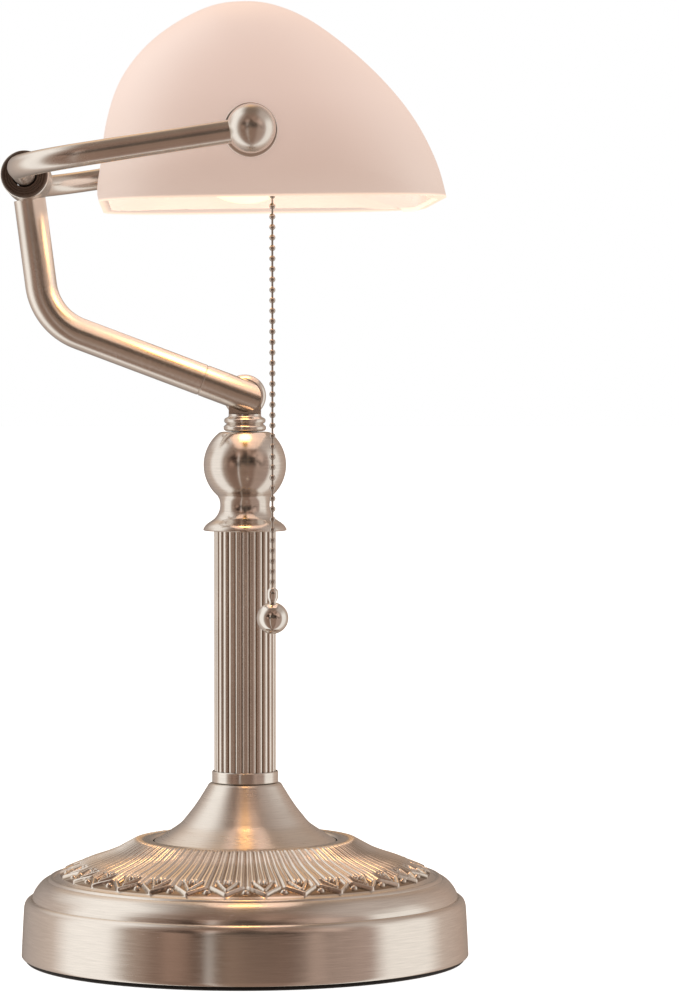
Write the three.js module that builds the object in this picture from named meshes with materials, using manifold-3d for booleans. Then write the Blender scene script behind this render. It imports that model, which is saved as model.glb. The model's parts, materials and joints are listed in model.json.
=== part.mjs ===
// Banker's desk lamp: weighted round base, reeded column with a turned vase, a bent arm on a
// half-lap knuckle, a horizontal hub that carries a U-shaped yoke, and an opal glass shade that
// turns on the yoke's two ball ends around a pull-chain lampholder.
//
// Millimetres, +Z up. The origin is the centre of the base's underside, on the column's axis.
// X runs along the shade, the hub stands behind the column on the +Y side, and the open front of
// the shade looks towards -Y. The lampholder and its chain are on the -X side.

import * as THREE from 'three';
import { mergeVertices } from 'three/addons/utils/BufferGeometryUtils.js';
import Module from 'manifold-3d';

const wasm = await Module();
wasm.setup();

// ---------------------------------------------------------------------------------------------
// Driving dimensions
// ---------------------------------------------------------------------------------------------

const FIT_GAP = 0.3; // between pieces that seat on, pass through or slide in one another
const BORE_SIDES = 8; // flats of a bent tube's bore

// Base
const BASE_RADIUS = 90;
const PAD_THICKNESS = 1.5;
const PAD_INSET = 1.5; // how far the pad's edge stands in from the wall
const PLATE_THICKNESS = 1.2;
const SHELL_THICKNESS = 1.2;
const WALL_TOP_Z = 24; // top of the shell's nearly upright wall
const WALL_DRAFT = 1; // how far the wall leans in over its height
const LIP_SIZE = 2.6; // rounded lip on top of the wall
const SHOULDER_WIDTH = 11;
const SHOULDER_TOP_Z = 35.3;
const DOME_RISE = 13.7; // of the embossed dome, above the shoulder
const SEAT_DROP = 1.3; // how far the cone's seat lies below the dome's inner edge
const WEIGHT_RADIUS = 72;
const WEIGHT_THICKNESS = 12;
const WEIGHT_BOSS_RADIUS = 14;
const NUT_RECESS_RADIUS = 12;
const NUT_RECESS_DEPTH = 9;
const CORD_CHANNEL_WIDTH = 9;
const CORD_CHANNEL_DEPTH = 7;
const CORD_OUTLET_Z = 12;
const CORD_OUTLET_RADIUS = 4.8;
const GROMMET_BORE_RADIUS = 3.2;
const GROMMET_FLANGE_RADIUS = 7;
const GROMMET_FLANGE_THICKNESS = 1.5;

// Cone, column and vase
const CONE_FOOT_RADIUS = 36.6;
const CONE_TOP_RADIUS = 14.5;
const CONE_HEIGHT = 23.3;
const CONE_THICKNESS = 1.2;
const ROD_RADIUS = 5;
const ROD_BORE_RADIUS = 3.5;
const ROD_NUT_ACROSS_FLATS = 16;
const ROD_NUT_THICKNESS = 5.5;
const ROD_WASHER_RADIUS = 10;
const ROD_WASHER_THICKNESS = 1.5;
const FERRULE_HEIGHT = 4.5;
const FERRULE_FLOOR = 1.4;
const FERRULE_WALL = 0.45;
const COLUMN_RADIUS = 12.55;
const COLUMN_LENGTH = 101.4;
const COLUMN_WALL = 1.2; // under the grooves
const FLUTE_COUNT = 26;
const FLUTE_DEPTH = 0.55;
const VASE_SEAT_DEPTH = 1.8; // how far the column stands in the vase's foot
const VASE_FOOT_RADIUS = 16.8;
const VASE_WAIST_RADIUS = 10;
const VASE_WAIST_Z = 11; // above the vase's foot
const VASE_BALL_RADIUS = 16.6;
const VASE_BALL_Z = 26.4; // centre of the ball, above the vase's foot
const VASE_HEIGHT = 39.7;
const ROD_ENTRY = 3.8; // how far the rod stands in the neck

// Knuckle and lower arm
const ARM_TUBE_RADIUS = 6.35;
const ARM_TUBE_WALL = 1.3;
const NECK_HEIGHT = 14.1; // from the neck's foot to the knuckle's axis
const NECK_BEAD_RADIUS = 8.3;
const NECK_GROOVE_RADIUS = 7.3;
const NECK_RADIUS = 6.5;
const HEAD_MARGIN = 2.25; // of the knuckle's head beyond the arm's radius
const KNUCKLE_LENGTH = 18; // from the knuckle's axis to the tube's end
const SPIGOT_LENGTH = 10;
const SCREW_RADIUS = 2;
const SCREW_HEAD_RADIUS = 4.2;
const SCREW_HEAD_THICKNESS = 2.4;
const SCREW_DEPTH = 4.5; // of the screw's end beyond the half-lap's face
const SPRING_WASHER_THICKNESS = 1;
const SPRING_WASHER_RADIUS = 4;
const ARM_RUN = 79.7; // knuckle axis to the arm's corner, back
const ARM_RISE = 30; // and up
const ARM_BEND_RADIUS = 24;
const HUB_OFFSET_Y = 7.5; // arm's corner to the hub's axis, back
const HUB_OFFSET_Z = 57.4; // and up
const LEAD_RADIUS = 1.5;
const LEAD_HOLE_RADIUS = 1.9;
const LEAD_HOLE_X = -2.6; // wire passage beside the knuckle's screw

// Hub and yoke
const HUB_RADIUS = 9.5;
const HUB_WALL = 1.6;
const HUB_LENGTH = 60;
const BUSH_FLANGE_RADIUS = 9.2;
const BUSH_FLANGE_THICKNESS = 2.5;
const BUSH_SPIGOT_LENGTH = 9;
const YOKE_TUBE_RADIUS = 4.65;
const YOKE_TUBE_WALL = 1;
const YOKE_BEND_RADIUS = 27;
const YOKE_HALF_GAP = 5; // from the middle of the hub to each half's inner end
const YOKE_REACH = 87.2; // hub axis to the shade's axis, forward
const YOKE_RISE = 13.6; // and up
const JOINER_WALL = 0.95;
const JOINER_HALF_LENGTH = 22;
const BALL_RADIUS = 9.3;
const BALL_TUBE_DEPTH = 4.3; // how far the yoke's tube stands in its ball
const NIPPLE_RADIUS = 4;
const NIPPLE_BORE_RADIUS = 2.6;
const NIPPLE_START = 3.5; // from the ball's centre
const NIPPLE_REACH = 4.5; // into the lampholder's cap or the retaining nut
const BALL_WASHER_RADIUS = 10.25;
const BALL_WASHER_THICKNESS = 1.6;
const GASKET_RADIUS = 9;
const GASKET_THICKNESS = 1.4;
const RETAINER_RADIUS = 8;
const RETAINER_THICKNESS = 5;

// Shade
const SHADE_HALF_LENGTH = 109.3; // to the flat seat at each end
const SHADE_STRAIGHT_HALF = 65; // half of the length with an unchanged section
const GLASS_THICKNESS = 3.5;
const GLASS_HOLE_RADIUS = 5.5;
const END_SEAT_SHARE = 0.3; // flat part of each end, as a share of the section
const RIM_DROP = 24.7; // of the rim below the shade's axis
const RIM_TILT = 0.85; // degrees, front edge up

// Lampholder, bulb and pull chain
const SOCKET_WALL = 0.7;
const SOCKET_CAP_LENGTH = 14;
const SOCKET_SHELL_LENGTH = 43.5;
const SOCKET_CORE_LENGTH = 15;
const CORE_SETBACK = 3; // from the shell's back edge to its core
const LINER_THICKNESS = 0.6;
const THREAD_WALL = 0.6;
const THREAD_AIR = 1.1; // between the screw shell and the paper liner
const BULB_CAP_RADIUS = 12.9;
const BULB_CAP_LENGTH = 22;
const BULB_CAP_WALL = 0.6;
const BULB_RADIUS = 25;
const BULB_NECK_AIR = 0.3; // between the neck of the glass and the cap round it
const BULB_GLASS_THICKNESS = 1;
const BULB_CENTRE_OFFSET = 28; // bulb's centre from the mouth of the lampholder
const CONTACT_RADIUS = 4;
const CONTACT_THICKNESS = 0.8;
const CAP_GAP = 2.6; // from the core's mouth to the bulb's cap
const CHAIN_OFFSET_Y = -9; // the chain's outlet, in front of the lampholder's axis
const CHAIN_INSET = 7; // the outlet from the back of the lampholder's core
const BELL_LENGTH = 9;
const BELL_MOUTH_RADIUS = 3.6;
const BELL_WALL = 0.7;
const BEAD_RADIUS = 1.2;
const BEAD_LINK_RADIUS = 0.5;
const BEAD_PITCH = 4;
const CHAIN_BEADS = 38;
const INNER_BEADS = 3;
const SWITCH_ROOM = 6; // free height over the chain's top bead
const CONNECTOR_RADIUS = 2.2;
const CONNECTOR_LENGTH = 6;
const PULL_BALL_RADIUS = 6.1;
const CONNECTOR_SEAT_DEPTH = 0.5; // of the connector's foot in the ball

// ---------------------------------------------------------------------------------------------
// Finishes
// ---------------------------------------------------------------------------------------------

const SATIN_NICKEL = { color: 0xb5aaa0, roughness: 0.32, metalness: 1 };
const POLISHED_NICKEL = { color: 0xd2ccc4, roughness: 0.1, metalness: 1 };
const ZINC_STEEL = { color: 0x9a9a98, roughness: 0.4, metalness: 1 };
const BRASS = { color: 0xb8934a, roughness: 0.3, metalness: 1 };
const CAST_IRON = { color: 0x3a3a3c, roughness: 0.8, metalness: 0.7 };
const BLACK_FOAM = { color: 0x111112, roughness: 0.9, metalness: 0 };
const BLACK_RUBBER = { color: 0x1a1a1b, roughness: 0.75, metalness: 0 };
const DARK_NYLON = { color: 0x2a2320, roughness: 0.45, metalness: 0 };
const PHENOLIC = { color: 0x1d1613, roughness: 0.5, metalness: 0 };
const FIBRE = { color: 0xcfc2a6, roughness: 0.85, metalness: 0 };
const OPAL_GLASS = { color: 0xe6d3c4, roughness: 0.35, metalness: 0 };
const FROSTED_BULB = { color: 0xfff3df, roughness: 0.4, metalness: 0 };
const WHITE_PVC = { color: 0xe8e6e0, roughness: 0.6, metalness: 0 };

// ---------------------------------------------------------------------------------------------
// Solid helpers
// ---------------------------------------------------------------------------------------------

// A closed solid from any geometry: corners merged, flat slivers dropped, faces outward.
function closed(geometry) {
  const bare = geometry.clone();
  bare.deleteAttribute('normal');
  bare.deleteAttribute('uv');
  const merged = mergeVertices(bare, 1e-4);
  const position = merged.attributes.position;
  const source = merged.index.array;
  const corners = [];
  let volume = 0;
  const [a, b, c] = [new THREE.Vector3(), new THREE.Vector3(), new THREE.Vector3()];
  for (let i = 0; i < source.length; i += 3) {
    const [p, q, r] = [source[i], source[i + 1], source[i + 2]];
    if (p !== q && q !== r && r !== p) {
      corners.push(p, q, r);
      a.fromBufferAttribute(position, p);
      b.fromBufferAttribute(position, q);
      c.fromBufferAttribute(position, r);
      volume += a.dot(b.cross(c));
    }
  }
  merged.setIndex(volume < 0 ? corners.reverse() : corners);
  return merged;
}

function toManifold(geometry) {
  const solid = closed(geometry);
  const vertProperties = new Float32Array(solid.attributes.position.array);
  const triVerts = new Uint32Array(solid.index.array);
  return new wasm.Manifold(new wasm.Mesh({ numProp: 3, vertProperties, triVerts }));
}

function toGeometry(manifold) {
  const mesh = manifold.getMesh();
  const geometry = new THREE.BufferGeometry();
  geometry.setAttribute('position', new THREE.BufferAttribute(mesh.vertProperties, 3));
  geometry.setIndex(new THREE.BufferAttribute(mesh.triVerts, 1));
  return geometry;
}

function cut(body, ...tools) {
  return toGeometry(tools.reduce((solid, tool) => solid.subtract(toManifold(tool)), toManifold(body)));
}

function join(body, ...others) {
  return toGeometry(others.reduce((solid, other) => solid.add(toManifold(other)), toManifold(body)));
}

function common(body, other) {
  return toGeometry(toManifold(body).intersect(toManifold(other)));
}

// A solid of revolution about Z from [radius, height] points, which end on the axis or close.
function turned(points, segments) {
  const profile = points.map(([radius, height]) => new THREE.Vector2(radius, height));
  return new THREE.LatheGeometry(profile, segments).rotateX(Math.PI / 2);
}

// A ring about Z with plain walls.
function ring(innerRadius, outerRadius, low, high, segments) {
  const corners = [[innerRadius, low], [outerRadius, low], [outerRadius, high], [innerRadius, high]];
  return turned([...corners, corners[0]], segments);
}

// A plain round bar about Z.
function bar(radius, low, high, segments) {
  return new THREE.CylinderGeometry(radius, radius, high - low, segments)
    .rotateX(Math.PI / 2)
    .translate(0, 0, (low + high) / 2);
}

function block(low, high) {
  const size = high.map((value, axis) => value - low[axis]);
  const centre = high.map((value, axis) => (value + low[axis]) / 2);
  return new THREE.BoxGeometry(...size).translate(...centre);
}

// Turns a solid made along +Z to lie along +X or, with side -1, along -X.
function alongX(geometry, side = 1) {
  return geometry.rotateY((side * Math.PI) / 2);
}

// Turns a solid made along +Z to point along a direction in the YZ plane, given in radians
// above +Y.
function alongArm(geometry, pitch) {
  return geometry.rotateX(pitch - Math.PI / 2);
}

// A circular bend in space, from one point to another at the same distance from its centre.
class Bend extends THREE.Curve {
  constructor(centre, start, end) {
    super();
    this.centre = centre;
    this.from = start.clone().sub(centre);
    this.to = end.clone().sub(centre);
    this.angle = this.from.angleTo(this.to);
  }

  getPoint(t, target = new THREE.Vector3()) {
    const startShare = Math.sin((1 - t) * this.angle) / Math.sin(this.angle);
    const endShare = Math.sin(t * this.angle) / Math.sin(this.angle);
    return target
      .copy(this.centre)
      .addScaledVector(this.from, startShare)
      .addScaledVector(this.to, endShare);
  }
}

// Two straight runs joined by one bend, as a tube bender makes them.
function bentRoute(start, corner, end, radius) {
  const back = start.clone().sub(corner).normalize();
  const ahead = end.clone().sub(corner).normalize();
  const halfAngle = back.angleTo(ahead) / 2;
  const trim = radius / Math.tan(halfAngle);
  const bendStart = corner.clone().addScaledVector(back, trim);
  const bendEnd = corner.clone().addScaledVector(ahead, trim);
  const middle = back.clone().add(ahead).normalize();
  const centre = corner.clone().addScaledVector(middle, radius / Math.sin(halfAngle));
  const route = new THREE.CurvePath();
  route.add(new THREE.LineCurve3(start, bendStart));
  route.add(new Bend(centre, bendStart, bendEnd));
  route.add(new THREE.LineCurve3(bendEnd, end));
  return route;
}

function circle(radius, sides) {
  const shape = new THREE.Shape();
  for (let i = 0; i < sides; i += 1) {
    const angle = (i / sides) * 2 * Math.PI;
    const [x, y] = [radius * Math.cos(angle), radius * Math.sin(angle)];
    if (i === 0) shape.moveTo(x, y);
    else shape.lineTo(x, y);
  }
  shape.closePath();
  return shape;
}

// A tube, or with no inner radius a solid bar, along a route. The flats of the bore's section
// touch the inner radius, so a round bar of that radius passes through.
function pipe(route, outerRadius, innerRadius, steps, sides) {
  const section = circle(outerRadius, sides);
  const cornerRadius = innerRadius / Math.cos(Math.PI / BORE_SIDES);
  if (innerRadius > 0) section.holes.push(circle(cornerRadius, BORE_SIDES));
  return new THREE.ExtrudeGeometry(section, { steps, extrudePath: route });
}

// Points on a circular arc in a lathe profile, centred on the axis.
function axisArc(centreHeight, radius, fromDegrees, toDegrees, divisions) {
  const arc = new THREE.EllipseCurve(
    0,
    centreHeight,
    radius,
    radius,
    THREE.MathUtils.degToRad(fromDegrees),
    THREE.MathUtils.degToRad(toDegrees),
    fromDegrees > toDegrees,
  );
  return arc.getPoints(divisions).map((point) => [point.x, point.y]);
}

function smooth(points, divisions) {
  const curve = new THREE.SplineCurve(points.map(([x, y]) => new THREE.Vector2(x, y)));
  return curve.getPoints(divisions).map((point) => [point.x, point.y]);
}

function group(parent, x, y, z) {
  const made = new THREE.Group();
  made.position.set(x, y, z);
  parent.add(made);
  return made;
}

function add(parent, name, geometry, finish) {
  const solid = closed(geometry);
  solid.computeVertexNormals();
  const mesh = new THREE.Mesh(solid, new THREE.MeshStandardMaterial(finish));
  mesh.name = name;
  parent.add(mesh);
}

// ---------------------------------------------------------------------------------------------
// Derived heights and places
// ---------------------------------------------------------------------------------------------

const SHELL_FOOT_Z = PAD_THICKNESS + FIT_GAP;
const PLATE_TOP_Z = SHELL_FOOT_Z + PLATE_THICKNESS;
const WEIGHT_FOOT_Z = PLATE_TOP_Z + FIT_GAP;
const CONE_SEAT_Z = SHOULDER_TOP_Z + DOME_RISE - SEAT_DROP;
const CONE_FOOT_Z = CONE_SEAT_Z + FIT_GAP;
const CONE_TOP_Z = CONE_FOOT_Z + CONE_HEIGHT;
const FERRULE_FOOT_Z = CONE_TOP_Z + FIT_GAP;
const COLUMN_FOOT_Z = FERRULE_FOOT_Z + FERRULE_FLOOR + FIT_GAP;
const COLUMN_TOP_Z = COLUMN_FOOT_Z + COLUMN_LENGTH;
const VASE_FOOT_Z = COLUMN_TOP_Z - VASE_SEAT_DEPTH;
const NECK_FOOT_Z = VASE_FOOT_Z + VASE_HEIGHT + FIT_GAP;
const KNUCKLE_Z = NECK_FOOT_Z + NECK_HEIGHT;
const NUT_RECESS_TOP_Z = WEIGHT_FOOT_Z + NUT_RECESS_DEPTH;
const ROD_WASHER_FOOT_Z = NUT_RECESS_TOP_Z - FIT_GAP - ROD_WASHER_THICKNESS;
const ROD_FOOT_Z = ROD_WASHER_FOOT_Z - FIT_GAP - ROD_NUT_THICKNESS;
const ROD_TOP_Z = NECK_FOOT_Z + ROD_ENTRY;
const ROD_HOLE_RADIUS = ROD_RADIUS + FIT_GAP;

const DOME_OUTER_RADIUS = BASE_RADIUS - LIP_SIZE - 1.4 - SHOULDER_WIDTH;
const CONE_SEAT_RADIUS = CONE_FOOT_RADIUS + 2 * FIT_GAP;

const COLUMN_SEAT_RADIUS = COLUMN_RADIUS + FIT_GAP;
const HEAD_RADIUS = ARM_TUBE_RADIUS + HEAD_MARGIN;
const ARM_PITCH = Math.atan2(ARM_RISE, ARM_RUN);
const HUB_Y = ARM_RUN + HUB_OFFSET_Y;
const HUB_Z = ARM_RISE + HUB_OFFSET_Z;

// Distances out from the middle plane along the shade's axis, the same on both sides.
const GASKET_OUT = SHADE_HALF_LENGTH + FIT_GAP + GASKET_THICKNESS;
const BALL_WASHER_OUT = GASKET_OUT + FIT_GAP + BALL_WASHER_THICKNESS;
const BALL_OUT = BALL_WASHER_OUT + FIT_GAP + BALL_RADIUS;
const INNER_GASKET_OUT = SHADE_HALF_LENGTH - GLASS_THICKNESS - FIT_GAP;
const SOCKET_OUT = INNER_GASKET_OUT - GASKET_THICKNESS - FIT_GAP;
const SHELL_OUT = SOCKET_OUT - SOCKET_CAP_LENGTH;
const SHELL_MOUTH_OUT = SHELL_OUT - SOCKET_SHELL_LENGTH;
const CORE_OUT = SHELL_OUT - CORE_SETBACK;
const CORE_MOUTH_OUT = CORE_OUT - SOCKET_CORE_LENGTH;
const CHAIN_X = -(CORE_OUT - CHAIN_INSET);

// The lampholder is sized outwards from the bulb's cap.
const THREAD_RADIUS = BULB_CAP_RADIUS + FIT_GAP + THREAD_WALL;
const LINER_RADIUS = THREAD_RADIUS + THREAD_AIR + LINER_THICKNESS;
const SOCKET_BORE_RADIUS = LINER_RADIUS + FIT_GAP;
const SOCKET_RADIUS = SOCKET_BORE_RADIUS + SOCKET_WALL;
const CORE_RADIUS = LINER_RADIUS - LINER_THICKNESS - FIT_GAP;
const CHAIN_HOLE_RADIUS = BEAD_RADIUS + 2 * FIT_GAP;
const BELL_TOP_Z = -Math.sqrt(SOCKET_RADIUS ** 2 - CHAIN_OFFSET_Y ** 2) + 1.6;
const BELL_MOUTH_Z = BELL_TOP_Z - BELL_LENGTH;

const lamp = new THREE.Group();
const arm = group(lamp, 0, 0, KNUCKLE_Z);
const yoke = group(arm, 0, HUB_Y, HUB_Z);
const head = group(yoke, 0, -YOKE_REACH, YOKE_RISE);

// ---------------------------------------------------------------------------------------------
// Base
// ---------------------------------------------------------------------------------------------

// The shell's shoulder and dome from the lip's groove to the cone's seat, lowered by a drop.
function shoulderAndDome(drop, shoulderSteps, domeSteps) {
  const start = [BASE_RADIUS - LIP_SIZE - 1.6, WALL_TOP_Z + LIP_SIZE + 0.3];
  const domeInner = CONE_SEAT_RADIUS + SEAT_DROP;
  const width = DOME_OUTER_RADIUS - domeInner;
  const shoulder = smooth([
    start,
    [DOME_OUTER_RADIUS + 0.72 * SHOULDER_WIDTH, start[1] + 0.34 * (SHOULDER_TOP_Z - start[1])],
    [DOME_OUTER_RADIUS + 0.4 * SHOULDER_WIDTH, start[1] + 0.72 * (SHOULDER_TOP_Z - start[1])],
    [DOME_OUTER_RADIUS, SHOULDER_TOP_Z],
  ], shoulderSteps);
  const dome = smooth([
    [DOME_OUTER_RADIUS, SHOULDER_TOP_Z],
    [DOME_OUTER_RADIUS - 0.165 * width, SHOULDER_TOP_Z + 0.17 * DOME_RISE],
    [DOME_OUTER_RADIUS - 0.47 * width, SHOULDER_TOP_Z + 0.49 * DOME_RISE],
    [DOME_OUTER_RADIUS - 0.81 * width, SHOULDER_TOP_Z + 0.89 * DOME_RISE],
    [domeInner, SHOULDER_TOP_Z + DOME_RISE],
  ], domeSteps);
  return [...shoulder, ...dome.slice(1)].map(([radius, height]) => [radius, height - drop]);
}

function wallRadiusAt(height) {
  const share = (height - SHELL_FOOT_Z) / (WALL_TOP_Z - SHELL_FOOT_Z);
  return BASE_RADIUS - share * WALL_DRAFT;
}

function makeBaseShell() {
  const lipTop = WALL_TOP_Z + LIP_SIZE;
  const outer = [
    [BASE_RADIUS, SHELL_FOOT_Z],
    [wallRadiusAt(WALL_TOP_Z), WALL_TOP_Z],
    [BASE_RADIUS - 0.65 * LIP_SIZE, lipTop - 0.3 * LIP_SIZE],
    [BASE_RADIUS - LIP_SIZE - 1, lipTop],
    [BASE_RADIUS - LIP_SIZE - 1.4, lipTop - 0.5],
    ...shoulderAndDome(0, 4, 6),
    [CONE_SEAT_RADIUS, CONE_SEAT_Z],
    [ROD_HOLE_RADIUS, CONE_SEAT_Z],
  ];
  const underDome = shoulderAndDome(1.15 * SHELL_THICKNESS, 2, 3)
    .filter(([radius]) => radius < DOME_OUTER_RADIUS + 0.5 * SHOULDER_WIDTH)
    .filter(([, height]) => height < CONE_SEAT_Z - SHELL_THICKNESS)
    .reverse();
  const inner = [
    [ROD_HOLE_RADIUS, CONE_SEAT_Z - SHELL_THICKNESS],
    [CONE_SEAT_RADIUS - 0.5 * SHELL_THICKNESS, CONE_SEAT_Z - SHELL_THICKNESS],
    ...underDome,
    [BASE_RADIUS - LIP_SIZE - 1.4 - 2 * SHELL_THICKNESS, WALL_TOP_Z + 0.6 * SHELL_THICKNESS],
    [BASE_RADIUS - WALL_DRAFT - SHELL_THICKNESS, WALL_TOP_Z - SHELL_THICKNESS],
    [BASE_RADIUS - SHELL_THICKNESS, SHELL_FOOT_Z],
    [BASE_RADIUS, SHELL_FOOT_Z],
  ];
  const outlet = alongX(bar(CORD_OUTLET_RADIUS, BASE_RADIUS - 6, BASE_RADIUS + 6, 16));
  return cut(turned([...outer, ...inner], 32), outlet.translate(0, 0, CORD_OUTLET_Z));
}

function makeWeight() {
  const bossTop = CONE_SEAT_Z - SHELL_THICKNESS - FIT_GAP;
  const discTop = WEIGHT_FOOT_Z + WEIGHT_THICKNESS;
  const body = turned([
    [NUT_RECESS_RADIUS, WEIGHT_FOOT_Z],
    [WEIGHT_RADIUS, WEIGHT_FOOT_Z],
    [WEIGHT_RADIUS, discTop],
    [WEIGHT_BOSS_RADIUS + 6, discTop],
    [WEIGHT_BOSS_RADIUS, discTop + 6],
    [WEIGHT_BOSS_RADIUS, bossTop],
    [ROD_HOLE_RADIUS, bossTop],
    [ROD_HOLE_RADIUS, NUT_RECESS_TOP_Z],
    [NUT_RECESS_RADIUS, NUT_RECESS_TOP_Z],
    [NUT_RECESS_RADIUS, WEIGHT_FOOT_Z],
  ], 28);
  const half = CORD_CHANNEL_WIDTH / 2;
  const channelTop = WEIGHT_FOOT_Z + CORD_CHANNEL_DEPTH;
  const channel = block([0, -half, WEIGHT_FOOT_Z - 1], [WEIGHT_RADIUS + 1, half, channelTop]);
  return cut(body, channel);
}

function makeGrommet() {
  const wall = wallRadiusAt(CORD_OUTLET_Z);
  const neckRadius = CORD_OUTLET_RADIUS - FIT_GAP;
  const inside = wall - SHELL_THICKNESS - 4 * FIT_GAP;
  const outside = wall + 2 * FIT_GAP;
  const profile = [
    [GROMMET_BORE_RADIUS, inside - GROMMET_FLANGE_THICKNESS],
    [GROMMET_FLANGE_RADIUS - 0.5, inside - GROMMET_FLANGE_THICKNESS],
    [GROMMET_FLANGE_RADIUS - 0.5, inside],
    [neckRadius, inside],
    [neckRadius, outside],
    [GROMMET_FLANGE_RADIUS, outside],
    [GROMMET_FLANGE_RADIUS - 0.8, outside + GROMMET_FLANGE_THICKNESS],
    [GROMMET_BORE_RADIUS, outside + GROMMET_FLANGE_THICKNESS],
  ];
  return alongX(turned([...profile, profile[0]], 16)).translate(0, 0, CORD_OUTLET_Z);
}

add(lamp, 'base_pad', bar(BASE_RADIUS - PAD_INSET, 0, PAD_THICKNESS, 36), BLACK_FOAM);
add(
  lamp,
  'bottom_plate',
  bar(BASE_RADIUS - SHELL_THICKNESS - 3 * FIT_GAP, SHELL_FOOT_Z, PLATE_TOP_Z, 32),
  ZINC_STEEL,
);
add(lamp, 'base_weight', makeWeight(), CAST_IRON);
add(lamp, 'base_shell', makeBaseShell(), SATIN_NICKEL);
add(lamp, 'cord_grommet', makeGrommet(), BLACK_RUBBER);

// ---------------------------------------------------------------------------------------------
// Cone, threaded rod, column and vase
// ---------------------------------------------------------------------------------------------

function makeCone() {
  const span = CONE_FOOT_RADIUS - CONE_TOP_RADIUS;
  const lowHandle = [CONE_FOOT_RADIUS - 0.32 * span, CONE_FOOT_Z + 0.13 * CONE_HEIGHT];
  const highHandle = [CONE_TOP_RADIUS + 0.3 * span, CONE_FOOT_Z + 0.51 * CONE_HEIGHT];
  const flank = (shrink) => new THREE.CubicBezierCurve(
    new THREE.Vector2(CONE_FOOT_RADIUS - 1.4 * shrink, CONE_FOOT_Z),
    new THREE.Vector2(lowHandle[0] - shrink, lowHandle[1] - 0.5 * shrink),
    new THREE.Vector2(highHandle[0] - shrink, highHandle[1]),
    new THREE.Vector2(CONE_TOP_RADIUS - shrink, CONE_TOP_Z - Math.max(shrink, 0.4)),
  ).getPoints(5).map((point) => [point.x, point.y]);
  const profile = [
    ...flank(0),
    [CONE_TOP_RADIUS - 0.6, CONE_TOP_Z],
    [ROD_HOLE_RADIUS, CONE_TOP_Z],
    [ROD_HOLE_RADIUS, CONE_TOP_Z - CONE_THICKNESS],
    ...flank(CONE_THICKNESS).reverse(),
  ];
  return turned([...profile, profile[0]], 22);
}

// The reeded tube: each reed is a rounded rib between two narrow grooves.
function makeColumn() {
  const phases = [[0, 1], [0.16, 0.38], [0.5, 0], [0.84, 0.38]];
  const outline = [];
  for (let flute = 0; flute < FLUTE_COUNT; flute += 1) {
    for (const [phase, depth] of phases) {
      const angle = ((flute + phase) / FLUTE_COUNT) * 2 * Math.PI;
      const radius = COLUMN_RADIUS - depth * FLUTE_DEPTH;
      outline.push(new THREE.Vector2(radius * Math.cos(angle), radius * Math.sin(angle)));
    }
  }
  const section = new THREE.Shape(outline);
  section.holes.push(circle(COLUMN_RADIUS - FLUTE_DEPTH - COLUMN_WALL, 24));
  const column = new THREE.ExtrudeGeometry(section, { depth: COLUMN_LENGTH, bevelEnabled: false });
  return column.translate(0, 0, COLUMN_FOOT_Z);
}

function makeFerrule() {
  const outerRadius = COLUMN_SEAT_RADIUS + FERRULE_WALL;
  const top = FERRULE_FOOT_Z + FERRULE_HEIGHT;
  const floor = FERRULE_FOOT_Z + FERRULE_FLOOR;
  const profile = [
    [ROD_HOLE_RADIUS, FERRULE_FOOT_Z],
    [outerRadius, FERRULE_FOOT_Z],
    [outerRadius, top],
    [COLUMN_SEAT_RADIUS, top],
    [COLUMN_SEAT_RADIUS, floor],
    [ROD_HOLE_RADIUS, floor],
  ];
  return turned([...profile, profile[0]], 26);
}

function makeVase() {
  const seatTop = VASE_SEAT_DEPTH + FIT_GAP;
  const ballLift = THREE.MathUtils.radToDeg(Math.asin((VASE_HEIGHT - VASE_BALL_Z) / VASE_BALL_RADIUS));
  const foot = smooth([
    [VASE_FOOT_RADIUS, 0.7],
    [VASE_FOOT_RADIUS - 1.9, 4],
    [VASE_WAIST_RADIUS + 1.4, 7],
    [VASE_WAIST_RADIUS, VASE_WAIST_Z],
    [VASE_WAIST_RADIUS + 0.9, VASE_WAIST_Z + 3.4],
  ], 7);
  const profile = [
    [VASE_FOOT_RADIUS, 0],
    ...foot,
    ...axisArc(VASE_BALL_Z, VASE_BALL_RADIUS, -42, ballLift, 7),
    [ROD_HOLE_RADIUS, VASE_HEIGHT],
    [ROD_HOLE_RADIUS, seatTop],
    [COLUMN_SEAT_RADIUS, seatTop],
    [COLUMN_SEAT_RADIUS, 0],
  ];
  return turned([...profile, profile[0]], 20).translate(0, 0, VASE_FOOT_Z);
}

function makeRodNut() {
  const cornerRadius = ROD_NUT_ACROSS_FLATS / Math.sqrt(3);
  const nut = bar(cornerRadius, ROD_FOOT_Z, ROD_FOOT_Z + ROD_NUT_THICKNESS, 6);
  return cut(nut, bar(ROD_HOLE_RADIUS, ROD_FOOT_Z - 1, ROD_FOOT_Z + ROD_NUT_THICKNESS + 1, 18));
}

add(lamp, 'cone_cover', makeCone(), SATIN_NICKEL);
add(lamp, 'threaded_rod', ring(ROD_BORE_RADIUS, ROD_RADIUS, ROD_FOOT_Z, ROD_TOP_Z, 18), ZINC_STEEL);
add(lamp, 'rod_nut', makeRodNut(), ZINC_STEEL);
add(
  lamp,
  'rod_washer',
  ring(ROD_HOLE_RADIUS, ROD_WASHER_RADIUS, ROD_WASHER_FOOT_Z, ROD_WASHER_FOOT_Z + ROD_WASHER_THICKNESS, 20),
  ZINC_STEEL,
);
add(lamp, 'ferrule', makeFerrule(), SATIN_NICKEL);
add(lamp, 'column_tube', makeColumn(), SATIN_NICKEL);
add(lamp, 'vase', makeVase(), SATIN_NICKEL);

// ---------------------------------------------------------------------------------------------
// Swivel neck and knuckle: the head keeps its +X half, the arm's end keeps its -X half
// ---------------------------------------------------------------------------------------------

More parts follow.
